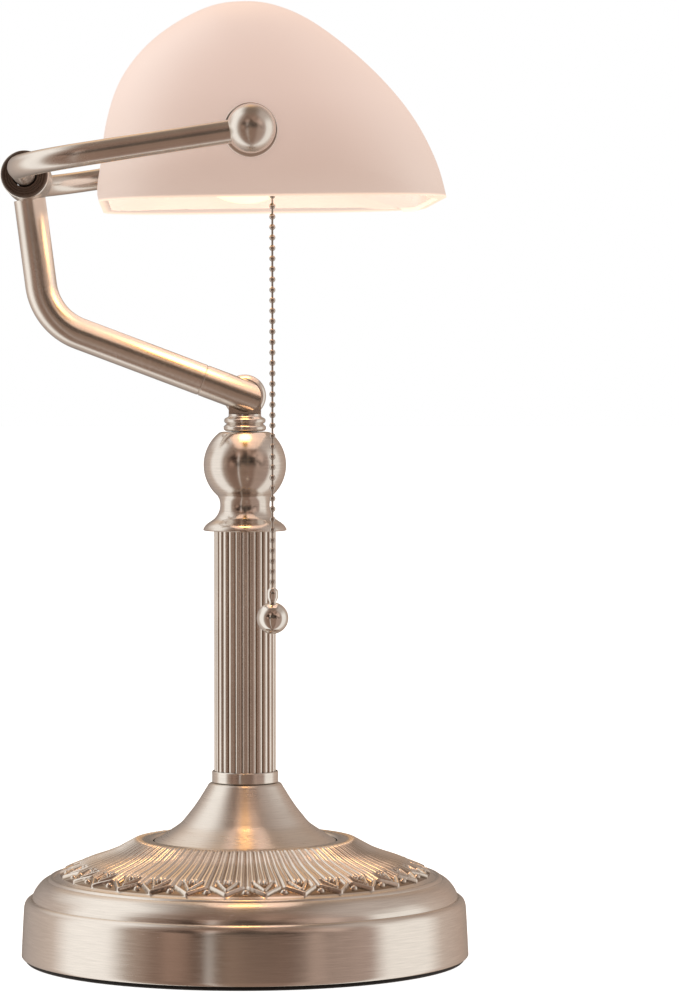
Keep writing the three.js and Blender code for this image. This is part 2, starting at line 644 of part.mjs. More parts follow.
const LAP_FACE = FIT_GAP / 2;
const SADDLE_Z = -(ARM_TUBE_RADIUS + 3 * FIT_GAP);
const SCREW_SEAT = HEAD_RADIUS - 1.2;
const SCREW_HOLE_RADIUS = SCREW_RADIUS + FIT_GAP;

function makeNeck() {
  const foot = -NECK_HEIGHT;
  const stem = turned([
    [0, foot],
    [NECK_BEAD_RADIUS - 0.8, foot],
    [NECK_BEAD_RADIUS, foot + 0.8],
    [NECK_BEAD_RADIUS, foot + 1.7],
    [NECK_GROOVE_RADIUS, foot + 2.9],
    [NECK_BEAD_RADIUS - 0.1, foot + 3.8],
    [NECK_BEAD_RADIUS - 0.1, foot + 4.7],
    [NECK_RADIUS, foot + 5.8],
    [NECK_RADIUS, 0],
    [0, 0],
  ], 16);
  const ball = new THREE.SphereGeometry(HEAD_RADIUS, 16, 10).rotateX(Math.PI / 2);
  const reach = 2 * HEAD_RADIUS;
  const solid = cut(
    join(stem, ball),
    block([-reach, -reach, SADDLE_Z], [LAP_FACE, reach, reach]),
    block([SCREW_SEAT, -reach, -SCREW_HEAD_RADIUS - 1], [reach, reach, reach]),
    alongX(bar(SCREW_HOLE_RADIUS, -1, reach, 14)),
    bar(ROD_HOLE_RADIUS, foot - 1, foot + ROD_ENTRY + FIT_GAP, 18),
    bar(LEAD_HOLE_RADIUS, foot, 1, 10).translate(LEAD_HOLE_X, 0, 0),
  );
  return solid.translate(0, 0, KNUCKLE_Z);
}

function makeKnuckleScrew() {
  const headFoot = SCREW_SEAT + SPRING_WASHER_THICKNESS + 2 * FIT_GAP;
  const headTop = headFoot + SCREW_HEAD_THICKNESS;
  const screw = turned([
    [0, -SCREW_DEPTH],
    [SCREW_RADIUS, -SCREW_DEPTH],
    [SCREW_RADIUS, headFoot],
    [SCREW_HEAD_RADIUS, headFoot],
    [SCREW_HEAD_RADIUS, headTop - 1],
    [SCREW_HEAD_RADIUS - 1.2, headTop],
    [0, headTop],
  ], 16);
  const reach = SCREW_HEAD_RADIUS + 1;
  const slot = block([-0.5, -reach, headTop - 1], [0.5, reach, headTop + 1]);
  return alongX(cut(screw, slot)).translate(0, 0, KNUCKLE_Z);
}

function makeSpringWasher() {
  const low = SCREW_SEAT + FIT_GAP;
  return alongX(ring(SCREW_HOLE_RADIUS, SPRING_WASHER_RADIUS, low, low + SPRING_WASHER_THICKNESS, 18))
    .translate(0, 0, KNUCKLE_Z);
}

function makeArmKnuckle() {
  const shank = bar(ARM_TUBE_RADIUS, -ARM_TUBE_RADIUS, KNUCKLE_LENGTH, 20);
  const reach = 2 * HEAD_RADIUS;
  const roundEnd = alongX(bar(ARM_TUBE_RADIUS, -reach, reach, 24));
  const behind = block([-reach, -reach, 0], [reach, reach, KNUCKLE_LENGTH + 1]);
  const tongue = common(shank, join(roundEnd, behind));
  const spigotRadius = ARM_TUBE_RADIUS - ARM_TUBE_WALL - FIT_GAP;
  const spigot = bar(spigotRadius, KNUCKLE_LENGTH - 1, KNUCKLE_LENGTH + SPIGOT_LENGTH, 16);
  const passage = bar(LEAD_HOLE_RADIUS, 4.4, KNUCKLE_LENGTH + SPIGOT_LENGTH + 1, 10);
  const inlet = bar(LEAD_HOLE_RADIUS, -reach, 0, 10).rotateX(-Math.PI / 2);
  const solid = cut(
    join(tongue, spigot),
    alongX(bar(HEAD_RADIUS + 1.5 * FIT_GAP, -LAP_FACE, reach, 28)),
    alongX(bar(SCREW_HOLE_RADIUS, -SCREW_DEPTH - FIT_GAP, 1, 14)),
    passage.translate(LEAD_HOLE_X, 0, 0),
    inlet.translate(LEAD_HOLE_X, 0, 5.6),
  );
  return alongArm(solid, ARM_PITCH);
}

add(lamp, 'swivel_neck', makeNeck(), SATIN_NICKEL);
add(lamp, 'knuckle_screw', makeKnuckleScrew(), ZINC_STEEL);
add(lamp, 'knuckle_spring_washer', makeSpringWasher(), ZINC_STEEL);
add(arm, 'arm_knuckle', makeArmKnuckle(), SATIN_NICKEL);

// ---------------------------------------------------------------------------------------------
// Lower arm and hub, about the knuckle's axis
// ---------------------------------------------------------------------------------------------

const ARM_DIRECTION = new THREE.Vector3(0, Math.cos(ARM_PITCH), Math.sin(ARM_PITCH));
const ARM_CORNER = new THREE.Vector3(0, ARM_RUN, ARM_RISE);
const HUB_CENTRE = new THREE.Vector3(0, HUB_Y, HUB_Z);
const HUB_BORE_RADIUS = HUB_RADIUS - HUB_WALL;
const BUSH_BORE_RADIUS = YOKE_TUBE_RADIUS + FIT_GAP;

function armRoute(startDistance) {
  const start = ARM_DIRECTION.clone().multiplyScalar(startDistance);
  return bentRoute(start, ARM_CORNER, HUB_CENTRE, ARM_BEND_RADIUS);
}

function hubBar(radius) {
  return alongX(bar(radius, -HUB_LENGTH, HUB_LENGTH, 28)).translate(0, HUB_Y, HUB_Z);
}

function makeArmTube() {
  const tube = pipe(
    armRoute(KNUCKLE_LENGTH + FIT_GAP),
    ARM_TUBE_RADIUS,
    ARM_TUBE_RADIUS - ARM_TUBE_WALL,
    14,
    14,
  );
  return cut(tube, hubBar(HUB_RADIUS + FIT_GAP));
}

function makeHubSleeve() {
  const half = HUB_LENGTH / 2;
  const sleeve = alongX(ring(HUB_BORE_RADIUS, HUB_RADIUS, -half, half, 28));
  const leadHole = bar(LEAD_HOLE_RADIUS + 1, -HUB_RADIUS - 2, 0, 12);
  return cut(sleeve, leadHole).translate(0, HUB_Y, HUB_Z);
}

function makeBush(side) {
  const end = HUB_LENGTH / 2;
  const spigotRadius = HUB_BORE_RADIUS - FIT_GAP;
  const face = end + FIT_GAP + BUSH_FLANGE_THICKNESS;
  const profile = [
    [BUSH_BORE_RADIUS, end - BUSH_SPIGOT_LENGTH],
    [spigotRadius, end - BUSH_SPIGOT_LENGTH],
    [spigotRadius, end + FIT_GAP],
    [BUSH_FLANGE_RADIUS, end + FIT_GAP],
    [BUSH_FLANGE_RADIUS, face - 0.6],
    [BUSH_FLANGE_RADIUS - 0.6, face],
    [BUSH_FLANGE_RADIUS - 1.6, face],
    [BUSH_FLANGE_RADIUS - 1.6, face - 0.7],
    [BUSH_BORE_RADIUS, face - 0.7],
  ];
  return alongX(turned([...profile, profile[0]], 18), side).translate(0, HUB_Y, HUB_Z);
}

function makeArmLead() {
  const hubwards = HUB_CENTRE.clone().sub(ARM_CORNER).normalize();
  const end = HUB_CENTRE.clone().addScaledVector(hubwards, -YOKE_TUBE_RADIUS - 2.5);
  const start = ARM_DIRECTION.clone().multiplyScalar(KNUCKLE_LENGTH + SPIGOT_LENGTH + 1);
  return pipe(bentRoute(start, ARM_CORNER, end, ARM_BEND_RADIUS), LEAD_RADIUS, 0, 12, 6);
}

add(arm, 'lower_arm_tube', makeArmTube(), SATIN_NICKEL);
add(arm, 'hub_sleeve', makeHubSleeve(), SATIN_NICKEL);
add(arm, 'hub_bush_near', makeBush(-1), DARK_NYLON);
add(arm, 'hub_bush_far', makeBush(1), DARK_NYLON);
add(arm, 'arm_lead', makeArmLead(), WHITE_PVC);

// ---------------------------------------------------------------------------------------------
// Yoke: two bent tubes meet on a joiner inside the hub, about the hub's axis
// ---------------------------------------------------------------------------------------------

const YOKE_PITCH = Math.atan2(YOKE_RISE, YOKE_REACH);
const YOKE_BORE_RADIUS = YOKE_TUBE_RADIUS - YOKE_TUBE_WALL;
const JOINER_RADIUS = YOKE_BORE_RADIUS - FIT_GAP;
const TUBE_END_FROM_BALL = BALL_RADIUS - BALL_TUBE_DEPTH;

function yokeRoute(side, startX, endFromBall) {
  const ball = new THREE.Vector3(side * BALL_OUT, -YOKE_REACH, YOKE_RISE);
  const corner = new THREE.Vector3(side * BALL_OUT, 0, 0);
  const back = corner.clone().sub(ball).normalize();
  const end = ball.addScaledVector(back, endFromBall);
  return bentRoute(new THREE.Vector3(side * startX, 0, 0), corner, end, YOKE_BEND_RADIUS);
}

function makeYokeHalf(side) {
  const route = yokeRoute(side, YOKE_HALF_GAP, TUBE_END_FROM_BALL);
  return pipe(route, YOKE_TUBE_RADIUS, YOKE_BORE_RADIUS, 18, 12);
}

function makeJoiner() {
  const half = JOINER_HALF_LENGTH;
  const sleeve = alongX(ring(JOINER_RADIUS - JOINER_WALL, JOINER_RADIUS, -half, half, 16));
  return cut(sleeve, bar(LEAD_HOLE_RADIUS, -JOINER_RADIUS - 1, 0, 10));
}

// Each ball takes the tube's end from behind and the nipple on its inner side.
function makeBall(side) {
  const ball = new THREE.SphereGeometry(BALL_RADIUS, 16, 10).rotateX(Math.PI / 2);
  const backwards = Math.PI - YOKE_PITCH;
  const tubeSeat = bar(YOKE_TUBE_RADIUS + FIT_GAP, -BALL_RADIUS - 1, FIT_GAP - TUBE_END_FROM_BALL, 16);
  const wireRoom = bar(YOKE_BORE_RADIUS - 0.6, -BALL_RADIUS, 2, 10);
  const nippleSeat = bar(NIPPLE_RADIUS + FIT_GAP, NIPPLE_START - FIT_GAP, BALL_RADIUS + 1, 12);
  const solid = cut(
    ball,
    alongArm(tubeSeat, backwards),
    alongArm(wireRoom, backwards),
    alongX(nippleSeat, -side),
    alongX(bar(NIPPLE_BORE_RADIUS, 0, BALL_RADIUS, 10), -side),
  );
  return solid.translate(side * BALL_OUT, 0, 0);
}

function makeYokeLead() {
  const toBall = yokeRoute(-1, 0, BALL_TUBE_DEPTH + 1);
  return pipe(toBall, LEAD_RADIUS, 0, 18, 6);
}

const BALL_WASHER_HOLE = NIPPLE_RADIUS + FIT_GAP;

function axialRing(side, innerRadius, outerRadius, from, to, segments = 14) {
  return alongX(ring(innerRadius, outerRadius, from, to, segments), side);
}

function addBothEnds(parent, stem, finish, make) {
  add(parent, `${stem}_near`, make(-1), finish);
  add(parent, `${stem}_far`, make(1), finish);
}

addBothEnds(yoke, 'yoke_tube', SATIN_NICKEL, makeYokeHalf);
add(yoke, 'yoke_joiner', makeJoiner(), ZINC_STEEL);
add(yoke, 'yoke_lead', makeYokeLead(), WHITE_PVC);
addBothEnds(head, 'yoke_ball', SATIN_NICKEL, makeBall);
addBothEnds(head, 'shade_nipple', ZINC_STEEL, (side) => axialRing(
  side,
  NIPPLE_BORE_RADIUS,
  NIPPLE_RADIUS,
  SOCKET_OUT - NIPPLE_REACH,
  BALL_OUT - NIPPLE_START,
));
addBothEnds(head, 'ball_washer', SATIN_NICKEL, (side) => axialRing(
  side,
  BALL_WASHER_HOLE,
  BALL_WASHER_RADIUS,
  BALL_WASHER_OUT - BALL_WASHER_THICKNESS,
  BALL_WASHER_OUT,
  20,
));

function makeRetainerNut() {
  const low = SOCKET_OUT - RETAINER_THICKNESS;
  const knurls = bar(RETAINER_RADIUS, low, SOCKET_OUT, 18);
  return alongX(cut(knurls, bar(BALL_WASHER_HOLE, low - 1, SOCKET_OUT + 1, 16)));
}

add(head, 'retainer_nut', makeRetainerNut(), BRASS);

// ---------------------------------------------------------------------------------------------
// Lampholder and bulb, about the shade's axis, on the -X side
// ---------------------------------------------------------------------------------------------

// Room for the chain's bell, upright through the lampholder.
function chainHole(low, high) {
  const hole = bar(CHAIN_HOLE_RADIUS + BELL_WALL + FIT_GAP, low, high, 12);
  return hole.translate(CHAIN_X, CHAIN_OFFSET_Y, 0);
}

function makeSocketCap() {
  const profile = [
    [BALL_WASHER_HOLE, SOCKET_OUT],
    [0.55 * SOCKET_RADIUS, SOCKET_OUT],
    [0.72 * SOCKET_RADIUS, SOCKET_OUT - 0.2 * SOCKET_CAP_LENGTH],
    [0.9 * SOCKET_RADIUS, SOCKET_OUT - 0.55 * SOCKET_CAP_LENGTH],
    [SOCKET_RADIUS, SHELL_OUT + 2.5],
    [SOCKET_RADIUS, SHELL_OUT],
    [SOCKET_BORE_RADIUS, SHELL_OUT],
    [0.83 * SOCKET_RADIUS, SOCKET_OUT - 0.6 * SOCKET_CAP_LENGTH],
    [0.6 * SOCKET_RADIUS, SOCKET_OUT - 0.3 * SOCKET_CAP_LENGTH],
    [BALL_WASHER_HOLE, SOCKET_OUT - 0.3 * SOCKET_CAP_LENGTH],
  ];
  return alongX(turned([...profile, profile[0]], 16), -1);
}

function makeSocketShell() {
  const top = SHELL_OUT - FIT_GAP;
  const profile = [
    [SOCKET_BORE_RADIUS, SHELL_MOUTH_OUT],
    [SOCKET_RADIUS + 0.4, SHELL_MOUTH_OUT],
    [SOCKET_RADIUS + 0.4, SHELL_MOUTH_OUT + 2],
    [SOCKET_RADIUS, SHELL_MOUTH_OUT + 2.6],
    [SOCKET_RADIUS, top],
    [SOCKET_BORE_RADIUS, top],
  ];
  return cut(alongX(turned([...profile, profile[0]], 20), -1), chainHole(-SOCKET_RADIUS - 2, 0));
}

function makeLiner() {
  const inner = LINER_RADIUS - LINER_THICKNESS;
  const liner = axialRing(-1, inner, LINER_RADIUS, SHELL_MOUTH_OUT + 1, CORE_OUT, 18);
  return cut(liner, chainHole(-SOCKET_RADIUS, 0));
}

function makeCore() {
  const core = alongX(bar(CORE_RADIUS, CORE_MOUTH_OUT, CORE_OUT, 18), -1);
  const innerBeadsTop = BELL_MOUTH_Z + INNER_BEADS * BEAD_PITCH;
  const chainRoom = bar(CHAIN_HOLE_RADIUS, -CORE_RADIUS - 1, innerBeadsTop + SWITCH_ROOM, 12);
  const wireHole = alongX(bar(LEAD_HOLE_RADIUS, CORE_OUT - 6, CORE_OUT + 1, 10), -1);
  return cut(
    core,
    chainRoom.translate(CHAIN_X, CHAIN_OFFSET_Y, 0),
    chainHole(-CORE_RADIUS - 1, BELL_TOP_Z + FIT_GAP),
    wireHole.translate(0, 0, 0.5 * CORE_RADIUS),
  );
}

function makeThreadShell() {
  const top = CORE_MOUTH_OUT - FIT_GAP;
  const low = SHELL_MOUTH_OUT + 1.5;
  const inner = THREAD_RADIUS - THREAD_WALL;
  const turns = 3;
  const pitch = (top - low) / turns;
  const outer = [];
  for (let turn = 0; turn < turns; turn += 1) {
    outer.push([THREAD_RADIUS - 0.25, low + turn * pitch]);
    outer.push([THREAD_RADIUS, low + (turn + 0.5) * pitch]);
  }
  const profile = [[inner, low], ...outer, [THREAD_RADIUS - 0.25, top], [inner, top]];
  return alongX(turned([...profile, profile[0]], 18), -1);
}

function makeCentreContact() {
  const top = CORE_MOUTH_OUT - FIT_GAP;
  return alongX(bar(CONTACT_RADIUS, top - CONTACT_THICKNESS, top, 12), -1);
}

const BULB_CAP_TOP = CORE_MOUTH_OUT - CAP_GAP;
const BULB_CAP_MOUTH = BULB_CAP_TOP - BULB_CAP_LENGTH;
const BULB_CENTRE = SHELL_MOUTH_OUT - BULB_CENTRE_OFFSET;

function makeBulbCap() {
  const inner = BULB_CAP_RADIUS - BULB_CAP_WALL;
  const profile = [
    [0, BULB_CAP_TOP],
    [CONTACT_RADIUS, BULB_CAP_TOP],
    [BULB_CAP_RADIUS - 3, BULB_CAP_TOP - 1.5],
    [BULB_CAP_RADIUS - 0.2, BULB_CAP_TOP - 4.5],
    [BULB_CAP_RADIUS, BULB_CAP_TOP - 6],
    [BULB_CAP_RADIUS, BULB_CAP_MOUTH],
    [inner, BULB_CAP_MOUTH],
    [inner, BULB_CAP_TOP - 6],
    [0, BULB_CAP_TOP - 4],
  ];
  return alongX(turned(profile, 20), -1);
}

// The bulb's glass is an open-necked shell whose neck stands in the metal cap.
function makeBulbGlass() {
  const neckRadius = BULB_CAP_RADIUS - BULB_CAP_WALL - BULB_NECK_AIR;
  const start = BULB_CAP_MOUTH + 5;
  const neckLow = BULB_CENTRE + 0.82 * BULB_RADIUS;
  const skin = (inset) => [
    [neckRadius - inset, start],
    [neckRadius - inset, BULB_CAP_MOUTH - 1],
    ...axisArc(BULB_CENTRE, BULB_RADIUS - inset, 46, -86, 6).filter(([, height]) => height < neckLow),
    [0, BULB_CENTRE - BULB_RADIUS + inset],
  ];
  return alongX(turned([...skin(0).reverse(), ...skin(BULB_GLASS_THICKNESS)], 18), -1);
}

function makeBell() {
  const inner = CHAIN_HOLE_RADIUS;
  const outer = inner + BELL_WALL;
  const profile = [
    [inner, BELL_TOP_Z],
    [inner, BELL_MOUTH_Z + 3],
    [BELL_MOUTH_RADIUS - BELL_WALL, BELL_MOUTH_Z],
    [BELL_MOUTH_RADIUS, BELL_MOUTH_Z],
    [BELL_MOUTH_RADIUS, BELL_MOUTH_Z + 0.6],
    [outer + 0.2, BELL_MOUTH_Z + 3.6],
    [outer, BELL_TOP_Z],
  ];
  return turned([...profile, profile[0]], 14).translate(CHAIN_X, CHAIN_OFFSET_Y, 0);
}

add(head, 'socket_cap', makeSocketCap(), BRASS);
add(head, 'socket_shell', makeSocketShell(), BRASS);
add(head, 'socket_liner', makeLiner(), FIBRE);
add(head, 'socket_core', makeCore(), PHENOLIC);
add(head, 'socket_thread', makeThreadShell(), BRASS);
add(head, 'centre_contact', makeCentreContact(), BRASS);
add(head, 'chain_bell', makeBell(), BRASS);
add(head, 'bulb_cap', makeBulbCap(), ZINC_STEEL);
add(head, 'bulb_glass', makeBulbGlass(), FROSTED_BULB);

// ---------------------------------------------------------------------------------------------
// Glass shade, about its own axis
// ---------------------------------------------------------------------------------------------

// Section across the shade, from the front rim over the top to the back rim. The last five
// points close it below the rim, where it is cut open.
const SHADE_OUTLINE = [
  [-77.2, -25.5],
  [-73.0, -10.5],
  [-64.8, 5.6],
  [-53.5, 20.0],
  [-38.8, 33.8],
  [-21.5, 45.0],
  [-2.4, 51.6],
  [14.5, 49.4],
  [29.5, 42.2],
  [41.0, 32.6],
  [49.6, 20.4],
  [54.4, 6.0],
  [56.7, -10.0],
  [57.6, -25.0],
  [48, -36],
  [20, -41],
  [-15, -41],
  [-55, -39],
  [-73, -33],
];

// A closed loaf: rings of a lathe about the axis, drawn out to the section's outline, and
// rounded towards a flat seat at each end.
function shadeLoaf(inset, halfLength) {
  const sides = 32;
  const rounds = 4;
  const points = SHADE_OUTLINE.map(([y, z]) => new THREE.Vector3(y, z, 0));
  const outline = new THREE.CatmullRomCurve3(points, true, 'centripetal').getSpacedPoints(sides);
  const fall = halfLength - SHADE_STRAIGHT_HALF;
  const half = [[END_SEAT_SHARE, halfLength]];
  for (let i = 1; i <= rounds; i += 1) {
    const angle = (i / rounds) * (Math.PI / 2);
    const share = END_SEAT_SHARE + (1 - END_SEAT_SHARE) * Math.sin(angle);
    half.push([share, SHADE_STRAIGHT_HALF + fall * Math.cos(angle)]);
  }
  const mirrored = half.map(([share, out]) => [share, -out]).reverse();
  const profile = [[0, halfLength], ...half, ...mirrored, [0, -halfLength]];
  const rings = profile.map(([share, out]) => new THREE.Vector2(share, out));
  const loaf = new THREE.LatheGeometry(rings, sides);
  const position = loaf.attributes.position;
  for (let ringIndex = 0; ringIndex <= sides; ringIndex += 1) {
    const { x: y, y: z } = outline[ringIndex % sides];
    const shrink = 1 - inset / Math.hypot(y, z);
    profile.forEach(([share, out], pointIndex) => {
      const reach = share * shrink;
      position.setXYZ(ringIndex * profile.length + pointIndex, out, y * reach, z * reach);
    });
  }
  return loaf;
}

function makeShade() {
  const reach = 2 * SHADE_HALF_LENGTH;
  const below = block([-reach, -reach, -reach], [reach, reach, -RIM_DROP]);
  return cut(
    shadeLoaf(0, SHADE_HALF_LENGTH),
    shadeLoaf(GLASS_THICKNESS, SHADE_HALF_LENGTH - GLASS_THICKNESS),
    below.rotateX(-THREE.MathUtils.degToRad(RIM_TILT)),
    alongX(bar(GLASS_HOLE_RADIUS, -reach, reach, 20)),
  );
}

add(head, 'glass_shade', makeShade(), OPAL_GLASS);
addBothEnds(head, 'outer_gasket', BLACK_RUBBER, (side) => axialRing(
  side,
  GLASS_HOLE_RADIUS,
  GASKET_RADIUS,
  GASKET_OUT - GASKET_THICKNESS,
  GASKET_OUT,
));
addBothEnds(head, 'inner_gasket', BLACK_RUBBER, (side) => axialRing(
  side,
  GLASS_HOLE_RADIUS,
  GASKET_RADIUS,
  INNER_GASKET_OUT - GASKET_THICKNESS,
  INNER_GASKET_OUT,
));

// ---------------------------------------------------------------------------------------------
// Pull chain: beads inside the bell slide with the switch, the rest hangs from its mouth
// ---------------------------------------------------------------------------------------------

function beadString(count, topZ, sides) {
  const profile = [[0, topZ]];
  for (let bead = 0; bead < count; bead += 1) {
    profile.push([BEAD_LINK_RADIUS, topZ - bead * BEAD_PITCH]);
    profile.push([BEAD_RADIUS, topZ - (bead + 0.5) * BEAD_PITCH]);
  }
  const end = topZ - count * BEAD_PITCH;
  return turned([...profile, [BEAD_LINK_RADIUS, end], [0, end]], sides);
}

const chain = group(head, CHAIN_X, CHAIN_OFFSET_Y, BELL_MOUTH_Z);
const CHAIN_TOP = -FIT_GAP;
const CHAIN_END = CHAIN_TOP - CHAIN_BEADS * BEAD_PITCH;
const PULL_BALL_Z = CHAIN_END - FIT_GAP - CONNECTOR_LENGTH - PULL_BALL_RADIUS + CONNECTOR_SEAT_DEPTH;

function makeConnector() {
  const top = CHAIN_END - FIT_GAP;
  const foot = top - CONNECTOR_LENGTH;
  return turned([
    [0, top],
    [0.5 * CONNECTOR_RADIUS, top],
    [CONNECTOR_RADIUS, top - 0.25 * CONNECTOR_LENGTH],
    [CONNECTOR_RADIUS, top - 0.7 * CONNECTOR_LENGTH],
    [0.6 * CONNECTOR_RADIUS, foot],
    [0, foot],
  ], 12);
}

function makePullBall() {
  const ball = new THREE.SphereGeometry(PULL_BALL_RADIUS, 16, 10).rotateX(Math.PI / 2);
  const seatFloor = PULL_BALL_RADIUS - CONNECTOR_SEAT_DEPTH - FIT_GAP;
  const seat = bar(CONNECTOR_RADIUS + FIT_GAP, seatFloor, PULL_BALL_RADIUS + 1, 14);
  return cut(ball, seat).translate(0, 0, PULL_BALL_Z);
}

add(chain, 'switch_chain', beadString(INNER_BEADS, INNER_BEADS * BEAD_PITCH, 6), POLISHED_NICKEL);
add(chain, 'pull_chain', beadString(CHAIN_BEADS, CHAIN_TOP, 6), POLISHED_NICKEL);
add(chain, 'chain_connector', makeConnector(), POLISHED_NICKEL);
add(chain, 'pull_ball', makePullBall(), POLISHED_NICKEL);

export default lamp;
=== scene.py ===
"""Banker's desk lamp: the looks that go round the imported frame.

Pieces are shaped in millimetres in the frame's own place and scaled to metres at the end.
"""

import json
import math

import bmesh
import bpy
from mathutils import Matrix, Vector


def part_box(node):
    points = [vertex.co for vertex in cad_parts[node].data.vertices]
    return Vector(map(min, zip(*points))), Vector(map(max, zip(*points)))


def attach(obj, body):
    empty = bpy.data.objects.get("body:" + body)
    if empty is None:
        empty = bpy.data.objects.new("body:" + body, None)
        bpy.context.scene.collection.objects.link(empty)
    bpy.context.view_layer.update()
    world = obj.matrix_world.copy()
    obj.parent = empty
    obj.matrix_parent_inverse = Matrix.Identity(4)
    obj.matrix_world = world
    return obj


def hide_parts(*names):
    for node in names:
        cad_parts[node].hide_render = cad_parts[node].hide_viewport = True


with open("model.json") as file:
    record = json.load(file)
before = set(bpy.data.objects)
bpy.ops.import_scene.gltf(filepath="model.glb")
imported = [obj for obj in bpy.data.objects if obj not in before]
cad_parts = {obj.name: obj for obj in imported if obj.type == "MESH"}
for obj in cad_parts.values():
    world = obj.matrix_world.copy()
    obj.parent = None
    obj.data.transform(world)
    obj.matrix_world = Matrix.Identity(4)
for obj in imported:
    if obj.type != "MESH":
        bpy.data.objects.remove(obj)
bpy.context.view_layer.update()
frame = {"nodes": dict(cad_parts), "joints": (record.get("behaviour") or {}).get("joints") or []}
nodes = frame["nodes"]
MM = 0.001

# ---- Places taken from the frame, in millimetres ----


def low_corner(node):
    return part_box(node)[0] / MM


def high_corner(node):
    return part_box(node)[1] / MM


def middle(node):
    return (low_corner(node) + high_corner(node)) / 2


def joint_place(name):
    joint = next(joint for joint in frame["joints"] if joint["name"] == name)
    return Vector(joint["pos_m"]) / MM


KNUCKLE = joint_place("arm_tilt")
HUB = joint_place("yoke_tilt")
SHADE_AXIS = joint_place("shade_turn")
CHAIN_TOP = joint_place("chain_swing")
BASE_RADIUS = high_corner("base_shell").x
SIDES = {"near": -1, "far": 1}

# ---- Camera ----

CAMERA_PLACE = (-1.7337, 0.034, 0.2454)
CAMERA_HEADING = math.radians(-2.38)
CAMERA_PITCH = math.radians(-1.97)
CAMERA_LENS = 155.8


def make_camera():
    data = bpy.data.cameras.new("camera")
    data.lens = CAMERA_LENS
    data.sensor_width = 36
    camera = bpy.data.objects.new("camera", data)
    bpy.context.scene.collection.objects.link(camera)
    level = math.cos(CAMERA_PITCH)
    ahead = Vector((
        math.cos(CAMERA_HEADING) * level,
        math.sin(CAMERA_HEADING) * level,
        math.sin(CAMERA_PITCH),
    ))
    camera.location = CAMERA_PLACE
    camera.rotation_euler = ahead.to_track_quat("-Z", "Y").to_euler()
    bpy.context.scene.camera = camera


make_camera()

# ---- Finishes ----


def new_finish(name):
    """A material with its node tree and its shader."""
    material = bpy.data.materials.new(name)
    material.use_nodes = True
    tree = material.node_tree
    return material, tree, tree.nodes["Principled BSDF"]


def node(tree, kind, **settings):
    made = tree.nodes.new(kind)
    for key, value in settings.items():
        setattr(made, key, value)
    return made


def join(tree, value, socket):
    """Joins another node's output to a socket, or sets the socket to a plain value."""
    if isinstance(value, bpy.types.NodeSocket):
        tree.links.new(value, socket)
    elif socket.type == "RGBA":
        socket.default_value = (*value, 1)
    else:
        socket.default_value = value


def object_place(tree):
    return node(tree, "ShaderNodeTexCoord").outputs["Object"]


def split_up(tree, vector):
    """A vector's three parts."""
    made = node(tree, "ShaderNodeSeparateXYZ")
    join(tree, vector, made.inputs["Vector"])
    return made.outputs


def put_together(tree, *parts):
    """A vector of the given parts, and nought for any left out."""
    made = node(tree, "ShaderNodeCombineXYZ")
    for socket, part in zip(made.inputs, parts):
        join(tree, part, socket)
    return made.outputs["Vector"]


def noise(tree, place, scale, detail=3.0, roughness=0.5, dimensions="3D", w=None):
    made = node(tree, "ShaderNodeTexNoise", noise_dimensions=dimensions)
    made.inputs["Scale"].default_value = scale
    made.inputs["Detail"].default_value = detail
    made.inputs["Roughness"].default_value = roughness
    join(tree, place, made.inputs["Vector"])
    if w is not None:
        join(tree, w, made.inputs["W"])
    return made.outputs["Fac"]


def between(tree, fac, low, high, from_low=0.3, from_high=0.7):
    """A value that runs from low to high as fac does over its own range."""
    made = node(tree, "ShaderNodeMapRange", clamp=True)
    made.inputs["From Min"].default_value = from_low
    made.inputs["From Max"].default_value = from_high
    made.inputs["To Min"].default_value = low
    made.inputs["To Max"].default_value = high
    join(tree, fac, made.inputs["Value"])
    return made.outputs["Result"]


def tones(tree, fac, stops):
    """A colour from a few stops of (position, colour)."""
    made = node(tree, "ShaderNodeValToRGB")
    ramp = made.color_ramp
    while len(ramp.elements) < len(stops):
        ramp.elements.new(0.5)
    for element, (position, colour) in zip(ramp.elements, stops):
        element.position = position
        element.color = (*colour, 1)
    join(tree, fac, made.inputs["Fac"])
    return made.outputs["Color"]


def own_tones(tree, fac, colour, dark, light):
    """A colour that runs from a darker to a lighter tone of itself."""
    low = tuple(dark * value for value in colour)
    high = tuple(min(1.0, light * value) for value in colour)
    return tones(tree, fac, [(0.3, low), (0.7, high)])


def blend_tones(tree, fac, first, second, way="MIX"):
    made = node(tree, "ShaderNodeMix", data_type="RGBA", blend_type=way)
    join(tree, fac, made.inputs[0])
    join(tree, first, made.inputs[6])
    join(tree, second, made.inputs[7])
    return made.outputs[2]


def math_of(tree, operation, *values):
    made = node(tree, "ShaderNodeMath", operation=operation)
    for socket, value in zip(made.inputs, values):
        join(tree, value, socket)
    return made.outputs["Value"]


def sum_of(tree, first, second, third):
    return math_of(tree, "ADD", math_of(tree, "ADD", first, second), third)


def vector_of(tree, operation, *values):
    made = node(tree, "ShaderNodeVectorMath", operation=operation)
    for socket, value in zip(made.inputs, values):
        join(tree, value, socket)
    output = "Value" if operation in ("LENGTH", "DOT_PRODUCT", "DISTANCE") else "Vector"
    return made.outputs[output]


def relief(tree, shader, height, strength, depth):
    made = node(tree, "ShaderNodeBump")
    made.inputs["Strength"].default_value = strength
    made.inputs["Distance"].default_value = depth
    join(tree, height, made.inputs["Height"])
    join(tree, made.outputs["Normal"], shader.inputs["Normal"])


LINE_DRIFT = 90.0  # how fast a brushed line changes along its own length, per metre


